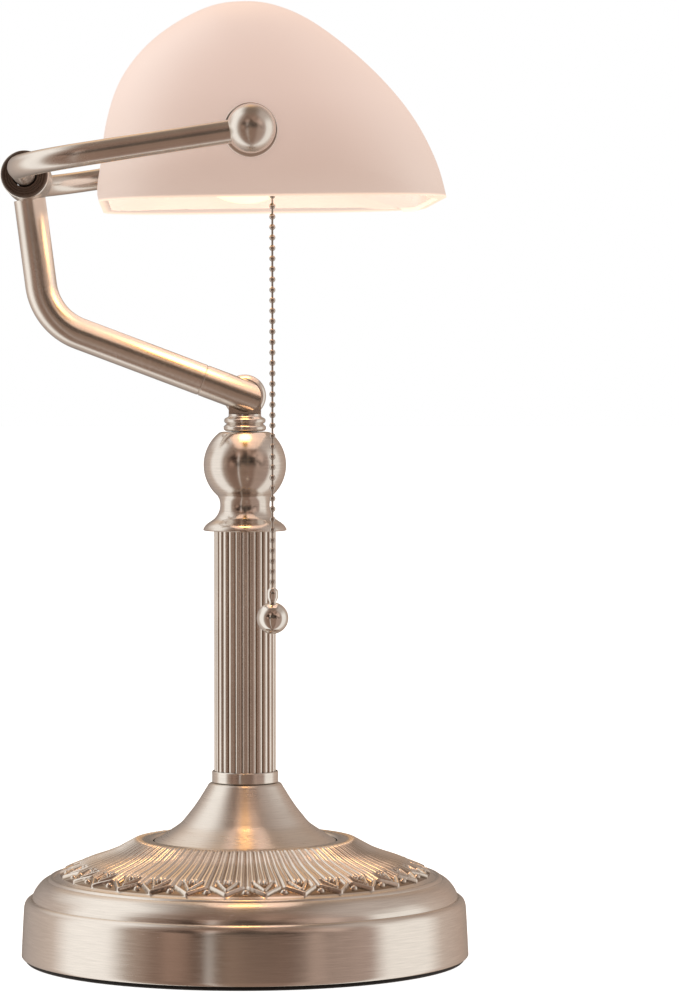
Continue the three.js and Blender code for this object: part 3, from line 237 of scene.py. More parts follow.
def satin_nickel_turned(name, colour, roughness, line_pitch, line_depth, anisotropy):
    """Satin nickel brushed on a lathe: fine lines run round the piece's upright axis."""
    material, tree, shader = new_finish(name)
    place = object_place(tree)
    x, y, z = split_up(tree, place)
    radius = vector_of(tree, "LENGTH", vector_of(tree, "MULTIPLY", place, (1.0, 1.0, 0.0)))
    lines = put_together(
        tree,
        math_of(tree, "MULTIPLY", radius, 1 / line_pitch),
        math_of(tree, "MULTIPLY", z, 1 / line_pitch),
        math_of(tree, "MULTIPLY", x, LINE_DRIFT),
    )
    drift = math_of(tree, "MULTIPLY", y, LINE_DRIFT)
    brushed = noise(tree, lines, 1.0, 4.0, 0.65, "4D", drift)
    cloud = noise(tree, place, 35.0, 3.0)
    tint = math_of(tree, "MULTIPLY_ADD", brushed, 0.7, 0.15)
    join(tree, own_tones(tree, tint, colour, 0.86, 1.08), shader.inputs["Base Color"])
    fine, broad = between(tree, brushed, -0.05, 0.05), between(tree, cloud, -0.03, 0.03)
    join(tree, sum_of(tree, fine, broad, roughness), shader.inputs["Roughness"])
    shader.inputs["Metallic"].default_value = 1.0
    shader.inputs["Anisotropic"].default_value = anisotropy
    around = vector_of(tree, "CROSS_PRODUCT", (0.0, 0.0, 1.0), place)
    normal = node(tree, "ShaderNodeNewGeometry").outputs["Normal"]
    along = vector_of(tree, "NORMALIZE", vector_of(tree, "CROSS_PRODUCT", around, normal))
    join(tree, along, shader.inputs["Tangent"])
    relief(tree, shader, brushed, 0.5, line_depth)
    return material


def plated(name, colour, roughness, spread, grain_scale, depth):
    """Plated metal with a fine even grain and faint handling marks."""
    material, tree, shader = new_finish(name)
    place = object_place(tree)
    grain = noise(tree, place, grain_scale, 4.0, 0.6)
    cloud = noise(tree, place, 40.0, 4.0, 0.55)
    join(tree, own_tones(tree, cloud, colour, 0.92, 1.05), shader.inputs["Base Color"])
    fine, broad = between(tree, grain, -spread, spread), between(tree, cloud, -spread, spread)
    join(tree, sum_of(tree, fine, broad, roughness), shader.inputs["Roughness"])
    shader.inputs["Metallic"].default_value = 1.0
    relief(tree, shader, grain, 0.25, depth)
    return material


def pressed_nickel(name, colour, roughness):
    """Plated metal with painted shade in its pressed hollows: the lower a point lies, the darker its
    colour.
    """
    material = plated(name, colour, roughness, 0.02, 2500.0, 0.000004)
    tree = material.node_tree
    shader = tree.nodes["Principled BSDF"]
    cloud = shader.inputs["Base Color"].links[0].from_socket
    raised = node(tree, "ShaderNodeAttribute", attribute_name="raised").outputs["Fac"]
    # Painted shade: hollows and grooves darkened, ridges kept at full tone
    painted_hollow_shade = tones(tree, raised, [
        (0.0, (0.42, 0.34, 0.27)),
        (0.4, (0.88, 0.84, 0.80)),
        (1.0, (1.0, 1.0, 1.0)),
    ])
    join(tree, blend_tones(tree, 1.0, cloud, painted_hollow_shade, "MULTIPLY"), shader.inputs["Base Color"])
    return material


def moulded(name, colour, roughness, grain_scale, depth, sheen=0.0):
    """Moulded or foamed material: a fine skin texture and slight changes of tone."""
    material, tree, shader = new_finish(name)
    place = object_place(tree)
    grain = noise(tree, place, grain_scale, 5.0, 0.6)
    cloud = noise(tree, place, 60.0, 3.0)
    join(tree, own_tones(tree, cloud, colour, 0.75, 1.25), shader.inputs["Base Color"])
    join(tree, between(tree, grain, roughness - 0.08, roughness + 0.08), shader.inputs["Roughness"])
    shader.inputs["Sheen Weight"].default_value = sheen
    relief(tree, shader, grain, 0.4, depth)
    return material


NICKEL = (0.80, 0.755, 0.705)
WALL_NICKEL = satin_nickel_turned("satin_nickel_brushed", NICKEL, 0.21, 0.0004, 0.000025, 0.75)
CONE_NICKEL = satin_nickel_turned("satin_nickel_spun", NICKEL, 0.3, 0.0004, 0.000025, 0.85)
VASE_NICKEL = satin_nickel_turned("satin_nickel_turned", (0.74, 0.69, 0.64), 0.17, 0.0004, 0.000015, 0.5)
# The pressed dome and the reeded column get shade painted into their hollows
CAST_NICKEL = pressed_nickel("satin_nickel_pressed", NICKEL, 0.17)
REED_NICKEL = pressed_nickel("satin_nickel_reeded", NICKEL, 0.24)
TUBE_NICKEL = plated("satin_nickel_tube", NICKEL, 0.25, 0.02, 3500.0, 0.000004)
BRIGHT_NICKEL = plated("bright_nickel", (0.78, 0.75, 0.71), 0.04, 0.015, 900.0, 0.000002)
CHAIN_NICKEL = plated("bead_chain_nickel", (0.50, 0.46, 0.42), 0.1, 0.03, 900.0, 0.000002)
ZINC = plated("zinc_plate", (0.62, 0.62, 0.60), 0.38, 0.06, 1800.0, 0.00002)
BRASS = plated("drawn_brass", (0.76, 0.58, 0.27), 0.26, 0.05, 1500.0, 0.00001)
IRON = moulded("cast_iron_black", (0.035, 0.035, 0.037), 0.65, 900.0, 0.0002)
FOAM = moulded("black_foam", (0.012, 0.012, 0.013), 0.85, 2600.0, 0.0003, 0.2)
RUBBER = moulded("black_rubber", (0.02, 0.02, 0.02), 0.7, 1500.0, 0.00005)
NYLON = moulded("dark_nylon", (0.12, 0.09, 0.072), 0.3, 1800.0, 0.00002)
PHENOLIC = moulded("dark_phenolic", (0.03, 0.02, 0.015), 0.3, 900.0, 0.00002)
FIBRE = moulded("pressed_fibre", (0.62, 0.54, 0.38), 0.85, 1200.0, 0.0001)
PVC = moulded("white_pvc", (0.80, 0.78, 0.74), 0.5, 1500.0, 0.00002)

RIM_DROP = 24.7  # from the shade's axis down to its rim
RIM_TILT = math.radians(0.85)
# Painted glow on the rim's edge, paler and brighter than the rest of the shade
PAINTED_RIM_GLOW = (1.45, 1.05, 0.78)


def make_opal_glass():
    """Opal glass lit from inside, its light painted in as glow: warm through the middle and paler towards
    its edges, brighter towards the top, with a painted cream glow along the rim.
    """
    material, tree, shader = new_finish("opal_glass_lit")
    place = object_place(tree)
    bulb = tuple(MM * middle("bulb_glass"))
    away = vector_of(tree, "DISTANCE", place, bulb)
    # Painted bulb light: the glow is warmest nearest the bulb and paler further off
    near = tones(tree, between(tree, away, 0.0, 1.0, 0.03, 0.13), [
        (0.0, (0.56, 0.38, 0.31)),
        (0.55, (0.55, 0.41, 0.35)),
        (1.0, (0.58, 0.46, 0.41)),
    ])
    # Painted light from above: the glow grows brighter towards the shade's top
    rise = between(tree, split_up(tree, place)["Z"], 0.0, 1.0, 0.305, 0.38)
    high = tones(tree, rise, [
        (0.0, (0.03, 0.02, 0.02)),
        (0.5, (0.30, 0.23, 0.22)),
        (1.0, (0.40, 0.30, 0.28)),
    ])
    lit = blend_tones(tree, 1.0, near, high, "ADD")
    # Painted rim glow: within about a millimetre of the rim the glow turns pale cream
    rim_up = Vector((0, math.sin(RIM_TILT), math.cos(RIM_TILT)))
    rim_height = rim_up.dot(SHADE_AXIS * MM) - RIM_DROP * MM * rim_up.z
    above = vector_of(tree, "DOT_PRODUCT", place, tuple(rim_up))
    painted_rim_glow_fade = between(tree, above, 0.0, 1.0, rim_height + 0.0003, rim_height + 0.0011)
    glow = blend_tones(tree, painted_rim_glow_fade, PAINTED_RIM_GLOW, lit)
    cloud = noise(tree, place, 18.0, 3.0)
    frost = noise(tree, place, 2200.0, 3.0)
    milk = tones(tree, cloud, [(0.3, (0.86, 0.81, 0.77)), (0.7, (0.90, 0.86, 0.82))])
    join(tree, milk, shader.inputs["Base Color"])
    join(tree, between(tree, frost, 0.34, 0.44), shader.inputs["Roughness"])
    join(tree, glow, shader.inputs["Emission Color"])
    shader.inputs["Emission Strength"].default_value = 0.52
    shader.inputs["IOR"].default_value = 1.5
    relief(tree, shader, frost, 0.15, 0.00003)
    return material


def make_bulb_frost():
    material, tree, shader = new_finish("bulb_frost_lit")
    place = object_place(tree)
    cloud = noise(tree, place, 60.0, 2.0)
    glow = tones(tree, cloud, [(0.3, (1.0, 0.66, 0.38)), (0.7, (1.0, 0.72, 0.44))])
    join(tree, glow, shader.inputs["Emission Color"])
    shader.inputs["Base Color"].default_value = (0.95, 0.9, 0.82, 1)
    shader.inputs["Emission Strength"].default_value = 1.35
    return material


OPAL_GLASS = make_opal_glass()
BULB_FROST = make_bulb_frost()

# ---- Ways of shaping ----


def finish_piece(name, mesh, body, finish, replaced, sharp=math.radians(38)):
    """Makes the shaped mesh a piece that rides on a body and stands for its CAD nodes."""
    bmesh.ops.remove_doubles(mesh, verts=mesh.verts, dist=0.0005)
    bmesh.ops.recalc_face_normals(mesh, faces=mesh.faces)
    bmesh.ops.scale(mesh, vec=(MM, MM, MM), verts=mesh.verts)
    for face in mesh.faces:
        face.smooth = True
    for edge in mesh.edges:
        edge.smooth = len(edge.link_faces) == 2 and edge.calc_face_angle(0) < sharp
    data = bpy.data.meshes.new(name)
    mesh.to_mesh(data)
    mesh.free()
    data.materials.append(finish)
    made = bpy.data.objects.new(name, data)
    bpy.context.scene.collection.objects.link(made)
    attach(made, body)
    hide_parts(*replaced)
    return made


def smooth_step(a, b, c, d, t):
    """A coordinate on the smooth line from b to c, whose neighbours are a and d."""
    bend = 2 * a - 5 * b + 4 * c - d
    twist = 3 * b - a - 3 * c + d
    return 0.5 * (2 * b + (c - a) * t + bend * t**2 + twist * t**3)


def smooth_line(points, steps):
    """Points on a smooth line through a few given ones."""
    ends = [points[0], *points, points[-1]]
    line = []
    for four in zip(ends, ends[1:], ends[2:], ends[3:]):
        for step in range(steps):
            line.append(tuple(smooth_step(*values, step / steps) for values in zip(*four)))
    line.append(tuple(points[-1]))
    return line


def arc_line(centre, radius, start, end, steps):
    """Points (radius, height) on a circle, from one angle to another in degrees."""
    x, z = centre
    angles = [math.radians(start + (end - start) * step / steps) for step in range(steps + 1)]
    return [(x + radius * math.cos(angle), z + radius * math.sin(angle)) for angle in angles]


def lay_profile(mesh, profile, closed):
    """Edges through (radius, height) points in the XZ plane."""
    verts = [mesh.verts.new((radius, 0, height)) for radius, height in profile]
    edges = [mesh.edges.new(pair) for pair in zip(verts, verts[1:])]
    if closed:
        edges.append(mesh.edges.new((verts[-1], verts[0])))
    return [*verts, *edges]


def spin_round(mesh, parts, angle, steps, copies=False):
    """Spins parts of a mesh about Z, as one skin or as separate copies."""
    bmesh.ops.spin(
        mesh, geom=parts, cent=(0, 0, 0), axis=(0, 0, 1), angle=angle, steps=steps,
        use_merge=angle == math.tau, use_normal_flip=False, use_duplicate=copies,
    )


def turn(profile, steps, closed=True):
    """A solid turned about Z from its profile."""
    mesh = bmesh.new()
    spin_round(mesh, lay_profile(mesh, profile, closed), math.tau, steps)
    bmesh.ops.remove_doubles(mesh, verts=mesh.verts, dist=0.0005)
    return mesh


def move(mesh, place):
    bmesh.ops.translate(mesh, vec=place, verts=mesh.verts)
    return mesh


def aim(mesh, direction):
    """Turns a mesh made along +Z to point along a direction."""
    turned = Vector(direction).to_track_quat("Z", "Y").to_matrix()
    bmesh.ops.rotate(mesh, cent=(0, 0, 0), matrix=turned, verts=mesh.verts)
    return mesh


def add_to(mesh, other):
    """Puts another mesh's faces in with this one's."""
    data = bpy.data.meshes.new("joined")
    other.to_mesh(data)
    other.free()
    mesh.from_mesh(data)
    bpy.data.meshes.remove(data)
    return mesh


def verts_of(loop):
    return list({vert for edge in loop for vert in edge.verts})


def tube_along(start, corner, end, bend_radius, radius, sides, bend_steps, ends):
    """A round bar drawn from start round a bend to end, as a tube bender makes it.

    Each of the two ends is a list of (distance, radius) rings past the end that close it."""
    start, corner, end = Vector(start), Vector(corner), Vector(end)
    back = (start - corner).normalized()
    ahead = (end - corner).normalized()
    half = back.angle(ahead) / 2
    trim = bend_radius / math.tan(half)
    centre = corner + (back + ahead).normalized() * (bend_radius / math.sin(half))
    axis = back.cross(ahead).normalized()
    mesh = bmesh.new()
    facing = (-back).to_track_quat("Z", "Y").to_matrix().to_4x4()
    bmesh.ops.create_circle(
        mesh, radius=radius, segments=sides, cap_ends=False, matrix=Matrix.Translation(start) @ facing,
    )
    first = list(mesh.edges)
    loop = draw_on(mesh, first, corner + back * trim - start)
    spun = bmesh.ops.spin(
        mesh, geom=[*loop, *verts_of(loop)], cent=centre, axis=axis, angle=-(math.pi - 2 * half),
        steps=bend_steps, use_merge=False, use_normal_flip=False, use_duplicate=False,
    )
    loop = [part for part in spun["geom_last"] if isinstance(part, bmesh.types.BMEdge)]
    loop = draw_on(mesh, loop, end - corner - ahead * trim)
    close_end(mesh, loop, end, ahead, radius, ends[1])
    close_end(mesh, first, start, back, radius, ends[0])
    return mesh


def draw_on(mesh, loop, step):
    """Extrudes a loop of edges by a step and returns the new loop."""
    made = bmesh.ops.extrude_edge_only(mesh, edges=loop)["geom"]
    verts = [part for part in made if isinstance(part, bmesh.types.BMVert)]
    bmesh.ops.translate(mesh, vec=step, verts=verts)
    return [part for part in made if isinstance(part, bmesh.types.BMEdge)]


def close_end(mesh, loop, centre, outward, radius, rings):
    """Closes a tube's end through rings of (distance past the end, radius)."""
    reach, width = 0.0, radius
    for distance, ring_radius in rings:
        loop = draw_on(mesh, loop, outward * (distance - reach))
        share = ring_radius / width
        from_ring = Matrix.Translation(-(centre + outward * distance))
        bmesh.ops.scale(mesh, vec=(share,) * 3, verts=verts_of(loop), space=from_ring)
        reach, width = distance, ring_radius
    bmesh.ops.contextual_create(mesh, geom=loop)


def carve(mesh, tool, operation="DIFFERENCE"):
    """One mesh cut by, or kept only within, another."""
    pair = []
    for part, label in ((mesh, "carved"), (tool, "tool")):
        bmesh.ops.recalc_face_normals(part, faces=part.faces)
        data = bpy.data.meshes.new(label)
        part.to_mesh(data)
        part.free()
        made = bpy.data.objects.new(label, data)
        bpy.context.scene.collection.objects.link(made)
        pair.append(made)
    body, cutter = pair
    cut = body.modifiers.new("cut", "BOOLEAN")
    cut.object = cutter
    cut.operation = operation
    cut.solver = "EXACT"
    result = bmesh.new()
    result.from_object(body, bpy.context.evaluated_depsgraph_get())
    for made in pair:
        data = made.data
        bpy.data.objects.remove(made)
        bpy.data.meshes.remove(data)
    return result


def bar(radius, low, high, sides, bevel=0.0):
    """A plain round bar about Z, with a small chamfer at both ends if one is given."""
    side = [(radius, low + bevel), (radius, high - bevel)]
    if bevel:
        side = [(radius - bevel, low), *side, (radius - bevel, high)]
    return turn([(0, low), *side, (0, high)], sides, closed=False)


def box_between(low, high):
    mesh = bmesh.new()
    bmesh.ops.create_cube(mesh, size=1.0)
    size = [b - a for a, b in zip(low, high)]
    bmesh.ops.scale(mesh, vec=size, verts=mesh.verts)
    return move(mesh, [(a + b) / 2 for a, b in zip(low, high)])


# ---- Base ----

PAD_TOP = high_corner("base_pad").z
PAD_RADIUS = high_corner("base_pad").x
SHELL_FOOT = low_corner("base_shell").z
SKIN = 1.2  # thickness of the pressed metal
WALL_TOP = 22.5
FOOT_ROLL = 0.4  # height of the small roll round the shell's foot
CONE_FOOT = low_corner("cone_cover").z

# The rim's section, as (inward of the base's radius, above the wall's top)
WALL_LINE = [(0.3, -13.5), (0.85, -3.2), (1.05, -0.6)]
LIP_LINE = [(1.3, 0.5), (1.8, 1.5), (2.7, 2.3), (3.6, 2.6)]
GROOVE_LINE = [(4.0, 2.4), (4.15, 2.1), (4.3, 2.7)]
SHOULDER_LINE = [(4.6, 4.2), (5.8, 6.4), (8.0, 8.9), (10.2, 10.3)]
CREST_LINE = [(10.5, 10.2), (10.8, 10.6), (11.5, 11.2), (12.4, 11.3), (13.0, 11.0), (13.4, 10.4)]
INNER_LINE = [(13.6, 9.4), (9.5, 8.0), (6.2, 3.0), (2.6, -0.8)]


def on_rim(line):
    return [(BASE_RADIUS - inward, WALL_TOP + up) for inward, up in line]


def make_base_rim():
    mesh = turn([
        *smooth_line([(BASE_RADIUS, SHELL_FOOT + FOOT_ROLL), *on_rim(WALL_LINE)], 4),
        *smooth_line(on_rim(LIP_LINE), 4),
        *on_rim(GROOVE_LINE),
        *smooth_line(on_rim(SHOULDER_LINE), 6),
        *smooth_line(on_rim(CREST_LINE), 3),
        *on_rim(INNER_LINE),
        (BASE_RADIUS - SKIN, SHELL_FOOT + FOOT_ROLL),
        (BASE_RADIUS - SKIN + 0.3, SHELL_FOOT),
        (BASE_RADIUS - 0.3, SHELL_FOOT),
    ], 180)
    grommet = middle("cord_grommet")
    hole = move(aim(bar(4.8, -8, 8, 32), (1, 0, 0)), (BASE_RADIUS, grommet.y, grommet.z))
    return carve(mesh, hole)


PETALS = 30
PETAL_STEPS = 36
PETAL_ANGLE = math.tau / PETALS
PETAL_FACING = math.pi - math.radians(1.0)
REED_START = 42.0
REED_HEIGHT = 1.25
INNER_REED_ANGLE = math.radians(0.85)  # from the petal's middle line
INNER_REED_END = 65.6
# Two pointed arches end the other reeds: the reeds' angle and end, the arch's tip, its height
# as a share of the reeds' and half its width
ARCHES = [(3.15, 65.4, 70.9, 0.9, 0.68), (4.85, 69.4, 73.8, 1.05, 0.78)]
STUD_PLACE = 71.9  # the stud between two petals
PATTERN_END = 74.5

DOME_LINE = [
    (77.2, 33.1), (75.6, 33.7), (73.0, 35.1), (69.0, 36.8), (63.5, 39.1), (57.8, 41.0), (52.0, 43.3),
    (47.2, 45.9), (43.6, 47.8), (40.8, 48.7), (38.6, 48.85), (37.4, 48.4), (37.0, 47.6),
]


def ridge(distance, half_width):
    """Height share of a rounded ridge at a distance from its crest line."""
    share = abs(distance) / half_width
    return math.sqrt(1 - share * share) if share < 1 else 0.0


def distance_to_line(point, start, end):
    """Distance of a point in the plane from a straight piece of line."""
    ax, ay = point[0] - start[0], point[1] - start[1]
    bx, by = end[0] - start[0], end[1] - start[1]
    t = max(0.0, min(1.0, (ax * bx + ay * by) / (bx * bx + by * by)))
    return math.hypot(ax - t * bx, ay - t * by)


def petal_relief(radius, angle):
    """Height of the embossing at a radius and an angle from the petal's middle line."""
    across = radius * abs(angle)
    half_width = 1.06 * radius / 56
    start = math.sqrt(max(0.0, min(1.0, (radius - REED_START) / 1.6)))
    end = math.sqrt(max(0.0, min(1.0, (INNER_REED_END - radius) / 0.8)))
    bud = math.hypot(across - 0.95, radius - INNER_REED_END - 0.1)
    stud = math.hypot(0.8 * (radius * PETAL_ANGLE / 2 - across), 0.9 * (radius - STUD_PLACE))
    heights = [
        ridge(across - radius * INNER_REED_ANGLE, half_width) * end,
        1.12 * ridge(bud, 0.85),
        ridge(stud, 1.15),
    ]
    for degrees, reed_end, tip, height, arch_width in ARCHES:
        reed = math.radians(degrees)
        if radius < reed_end:
            heights.append(ridge(across - radius * reed, half_width))
        foot = reed_end - 0.2
        arch = distance_to_line((across, radius), (foot * reed, foot), (0.0, tip))
        heights.append(height * ridge(arch, arch_width))
    return REED_HEIGHT * start * max(heights)


def make_base_dome():
    """The embossed dome: one petal is pressed, then copied round."""
    line = [DOME_LINE[0]]
    for point in smooth_line(DOME_LINE, 40):
        gap = 0.36 if 63 < point[0] < 75 else 0.9
        if math.dist(line[-1], point) >= gap:
            line.append(point)
    mesh = bmesh.new()
    outline = lay_profile(mesh, line, closed=False)
    turned = Matrix.Rotation(PETAL_FACING, 3, "Z")
    bmesh.ops.rotate(mesh, cent=(0, 0, 0), matrix=turned, verts=mesh.verts)
    spin_round(mesh, outline, PETAL_ANGLE, PETAL_STEPS)
    # Each point's height share, which the pressed finish turns into painted shade in the hollows
    raised = mesh.verts.layers.float.new("raised")
    for vert in mesh.verts:
        radius = math.hypot(vert.co.x, vert.co.y)
        angle = (math.atan2(vert.co.y, vert.co.x) - PETAL_FACING) % math.tau
        if angle > math.pi:
            angle -= math.tau
        height = petal_relief(radius, angle - PETAL_ANGLE / 2)
        pressed = REED_START < radius < PATTERN_END
        vert[raised] = min(1.0, height / REED_HEIGHT) if pressed else 1.0
        lean = 0.42 * height / radius
        vert.co += Vector((vert.co.x * lean, vert.co.y * lean, 0.9 * height))
    petal = [*mesh.verts, *mesh.edges, *mesh.faces]
    spin_round(mesh, petal, math.tau - PETAL_ANGLE, PETALS - 1, copies=True)
    bmesh.ops.remove_doubles(mesh, verts=mesh.verts, dist=0.002)
    return mesh


finish_piece(
    "base_rim", make_base_rim(), "stand", WALL_NICKEL, ["base_shell"], math.radians(50),
)
finish_piece(
    "base_dome", make_base_dome(), "stand", CAST_NICKEL, ["base_shell"], math.radians(180),
)


def make_foam_pad():
    profile = [
        (0, 0), (PAD_RADIUS - 0.5, 0), (PAD_RADIUS, 0.5), (PAD_RADIUS, PAD_TOP - 0.2),
        (PAD_RADIUS - 0.3, PAD_TOP), (0, PAD_TOP),
    ]
    return turn(profile, 120, closed=False)


def make_grommet():
    low, high, place = low_corner("cord_grommet"), high_corner("cord_grommet"), middle("cord_grommet")
    face, back, flange = high.x, low.x, high.y
    profile = [
        (3.2, back), (flange - 0.5, back), (flange - 0.5, back + 1.5), (4.5, back + 1.5), (4.5, face - 1.5),
        (flange, face - 1.5), *arc_line((flange - 1.1, face - 1.2), 1.1, 0, 90, 5), (4.0, face),
        (3.4, face - 0.3), (3.2, face - 0.9),
    ]
    return move(aim(turn(profile, 48), (1, 0, 0)), (0, place.y, place.z))


finish_piece("base_foam_pad", make_foam_pad(), "stand", FOAM, ["base_pad"])
finish_piece("cord_inlet_grommet", make_grommet(), "stand", RUBBER, ["cord_grommet"])

# ---- Cone, column and vase ----

CONE_TOP = high_corner("cone_cover").z
CONE_LINE = [
    (36.6, 48.05), (35.9, 48.35), (33.4, 49.9), (30.7, 51.7), (26.1, 54.9), (23.3, 58.1), (20.7, 61.4),
    (18.5, 64.6), (16.5, 67.8), (15.2, 69.9),
]
COLUMN_RADIUS = high_corner("column_tube").x
ROD_HOLE = 5.3  # where the threaded rod passes through the stacked pieces
REEDS = 26
REED_RELIEF = 0.62


def make_cone():
    outer = [*smooth_line(CONE_LINE, 5), (14.9, 70.5), (14.5, 71.0), (13.9, CONE_TOP), (ROD_HOLE, CONE_TOP)]
    inside_top = CONE_TOP - SKIN
    inner = [(ROD_HOLE, inside_top), (13.2, inside_top), (19.2, 61.2), (24.7, 54.0), (35.4, CONE_FOOT)]
    return turn([*outer, *inner, (36.3, CONE_FOOT)], 144)


def make_ferrule():
    low, high = low_corner("ferrule").z, high_corner("ferrule").z
    outer = high_corner("ferrule").y
    profile = [
        (ROD_HOLE, low), (outer - 0.3, low), (outer, low + 0.3), (outer, high - 0.25), (outer - 0.2, high),
        (outer - 0.45, high), (outer - 0.45, low + 1.4), (ROD_HOLE, low + 1.4),
    ]
    return turn(profile, 96)


def make_column():
    """One reed's rounded outline is copied round and drawn up the column's length."""
    low, high = low_corner("column_tube").z, high_corner("column_tube").z
    mesh = bmesh.new()
    # Each point's height share, which the reeded finish turns into painted shade in the grooves
    raised = mesh.verts.layers.float.new("raised")
    pitch = math.tau / REEDS
    floor = COLUMN_RADIUS - REED_RELIEF
    outline = []
    for share in (-0.5, -0.43, -0.37, -0.28, -0.17, -0.06, 0.06, 0.17, 0.28, 0.37, 0.43, 0.5):
        bulge = max(0.0, 1 - (abs(share) / 0.44) ** 2.4)
        radius = floor + REED_RELIEF * bulge ** 0.55
        angle = share * pitch
        outline.append(mesh.verts.new((radius * math.cos(angle), radius * math.sin(angle), low)))
        outline[-1][raised] = min(1.0, 1.6 * bulge)
    edges = [mesh.edges.new(pair) for pair in zip(outline, outline[1:])]
    spin_round(mesh, [*outline, *edges], math.tau - pitch, REEDS - 1, copies=True)
    bmesh.ops.remove_doubles(mesh, verts=mesh.verts, dist=0.01)
    half_way = draw_on(mesh, list(mesh.edges), (0, 0, (high - low) / 2))
    draw_on(mesh, half_way, (0, 0, (high - low) / 2))
    return mesh


def make_vase():
    low, high = low_corner("vase").z, high_corner("vase").z
    foot = high_corner("vase").x
    ball_radius, ball_height = 16.6, low + 26.4
    bell = smooth_line([
        (foot - 0.15, low + 0.8), (foot - 0.8, low + 1.9), (foot - 2.1, low + 3.1), (foot - 4.3, low + 4.6),
        (foot - 5.7, low + 6.3), (10.25, low + 8.2), (9.95, low + 10.4), (10.25, low + 12.4),
        (11.1, low + 14.1),
    ], 5)
    lift = math.degrees(math.asin((high - 0.3 - ball_height) / ball_radius))
    ball = arc_line((0, ball_height), ball_radius, -45, lift, 40)
    recess, recess_top = 12.9, low + 2.1
    profile = [
        (recess, low), (foot - 0.4, low), (foot, low + 0.4), *bell, *ball,
        (9.4, high), (ROD_HOLE, high), (ROD_HOLE, recess_top), (recess, recess_top),
    ]
    return turn(profile, 128)


finish_piece("cone", make_cone(), "stand", CONE_NICKEL, ["cone_cover"])
finish_piece("column_ferrule", make_ferrule(), "stand", WALL_NICKEL, ["ferrule"])
finish_piece(
    "reeded_column", make_column(), "stand", REED_NICKEL, ["column_tube"], math.radians(60),
)
finish_piece("turned_vase", make_vase(), "stand", VASE_NICKEL, ["vase"])

# ---- Neck and knuckle ----

LAP = 0.15  # from the middle plane to each half of the knuckle
SWING_ROOM = 0.8  # between the head and the arm's full-width shank
HEAD_RADIUS = high_corner("swivel_neck").z - KNUCKLE.z
ARM_RADIUS = high_corner("lower_arm_tube").x
ARM_CORNER = KNUCKLE + Vector((0, 79.7, 30.0))
ARM_AHEAD = (ARM_CORNER - KNUCKLE).normalized()


def make_neck():
    """A stem on two rolls, halved above its shoulder, with the knuckle's fixed half as its head."""
    foot = low_corner("swivel_neck").z
    stem_radius, shoulder = 6.5, KNUCKLE.z - 7.25
    stem = [
        (0, foot), (7.4, foot), *arc_line((7.35, foot + 1.25), 1.25, -60, 60, 6),
        (7.3, foot + 2.9), *arc_line((7.2, foot + 4.2), 1.15, -60, 60, 6), (6.8, foot + 5.7),
        (6.55, foot + 6.0), (stem_radius, shoulder), (0, shoulder),
    ]
    mesh = turn(stem, 64, closed=False)
    half = bar(stem_radius, KNUCKLE.z - 8.5, KNUCKLE.z, 64)
    half = carve(half, box_between((-20, -20, KNUCKLE.z - 20), (LAP, 20, KNUCKLE.z + 5)))
    add_to(mesh, half)
    seat = HEAD_RADIUS - 1.2
    angle = math.degrees(math.asin((LAP + 2.7) / HEAD_RADIUS))
    top = math.degrees(math.asin(seat / HEAD_RADIUS))
    soft = arc_line((HEAD_RADIUS - 2.6, LAP + 2.6), 2.6, -90, 0, 8)
    dome = [(0, LAP), *soft, *arc_line((0, 0), HEAD_RADIUS, angle, top, 16), (0, seat)]
    add_to(mesh, move(aim(turn(dome, 72, closed=False), (1, 0, 0)), KNUCKLE))
    return mesh


def make_knuckle_screw():
    low, high = low_corner("knuckle_screw").x, high_corner("knuckle_screw").x
    head = 4.2
    foot = high - 2.4
    profile = [
        (0, low), (1.7, low), (2.0, low + 0.4), (2.0, foot), (head - 0.3, foot), (head, foot + 0.3),
        *arc_line((head - 1.1, high - 1.1), 1.1, 0, 75, 6), (0, high),
    ]
    mesh = aim(turn(profile, 48, closed=False), (1, 0, 0))
    mesh = carve(mesh, box_between((high - 1.0, -6, -0.5), (high + 2, 6, 0.5)))
    return move(mesh, KNUCKLE)


def make_tongue():
    """The arm's half of the knuckle: a shank with a round end, halved on the far side."""
    shank = aim(bar(ARM_RADIUS, -9, 18, 72, 0.4), ARM_AHEAD)
    round_end = aim(bar(ARM_RADIUS, -12, 12, 72), (1, 0, 0))
    behind = aim(box_between((-12, -12, 0), (12, 12, 30)), ARM_AHEAD)
    keep = carve(round_end, behind, "UNION")
    mesh = carve(shank, keep, "INTERSECT")
    mesh = carve(mesh, aim(bar(HEAD_RADIUS + SWING_ROOM, -LAP, 20, 72), (1, 0, 0)))
    return move(mesh, KNUCKLE)


finish_piece("neck_and_head", make_neck(), "stand", VASE_NICKEL, ["swivel_neck"])
finish_piece("slotted_screw", make_knuckle_screw(), "stand", ZINC, ["knuckle_screw"])
finish_piece("arm_tongue", make_tongue(), "arm", TUBE_NICKEL, ["arm_knuckle"])

# ---- Lower arm and hub ----

HUB_RADIUS = high_corner("hub_sleeve").z - HUB.z
HUB_HALF = high_corner("hub_sleeve").x
YOKE_RADIUS = 4.45


def make_arm_tube():
    start = KNUCKLE + ARM_AHEAD * 18.3
    up = (HUB - ARM_CORNER).normalized()
    end = HUB - up * (HUB_RADIUS - 0.6)
    ends = ([(0.3, ARM_RADIUS - 0.3), (0.3, 4.0)], [(0.0, ARM_RADIUS), (0.6, 2.0)])
    return tube_along(start, ARM_CORNER, end, 24.0, ARM_RADIUS, 64, 36, ends)


def make_hub_sleeve():
    half, outer, bore, chamfer = HUB_HALF, HUB_RADIUS, 7.9, 0.35
    profile = [
        (bore, -half), (outer - chamfer, -half), (outer, -half + chamfer), (outer, half - chamfer),
        (outer - chamfer, half), (bore, half),
    ]
    return move(aim(turn(profile, 96), (1, 0, 0)), HUB)


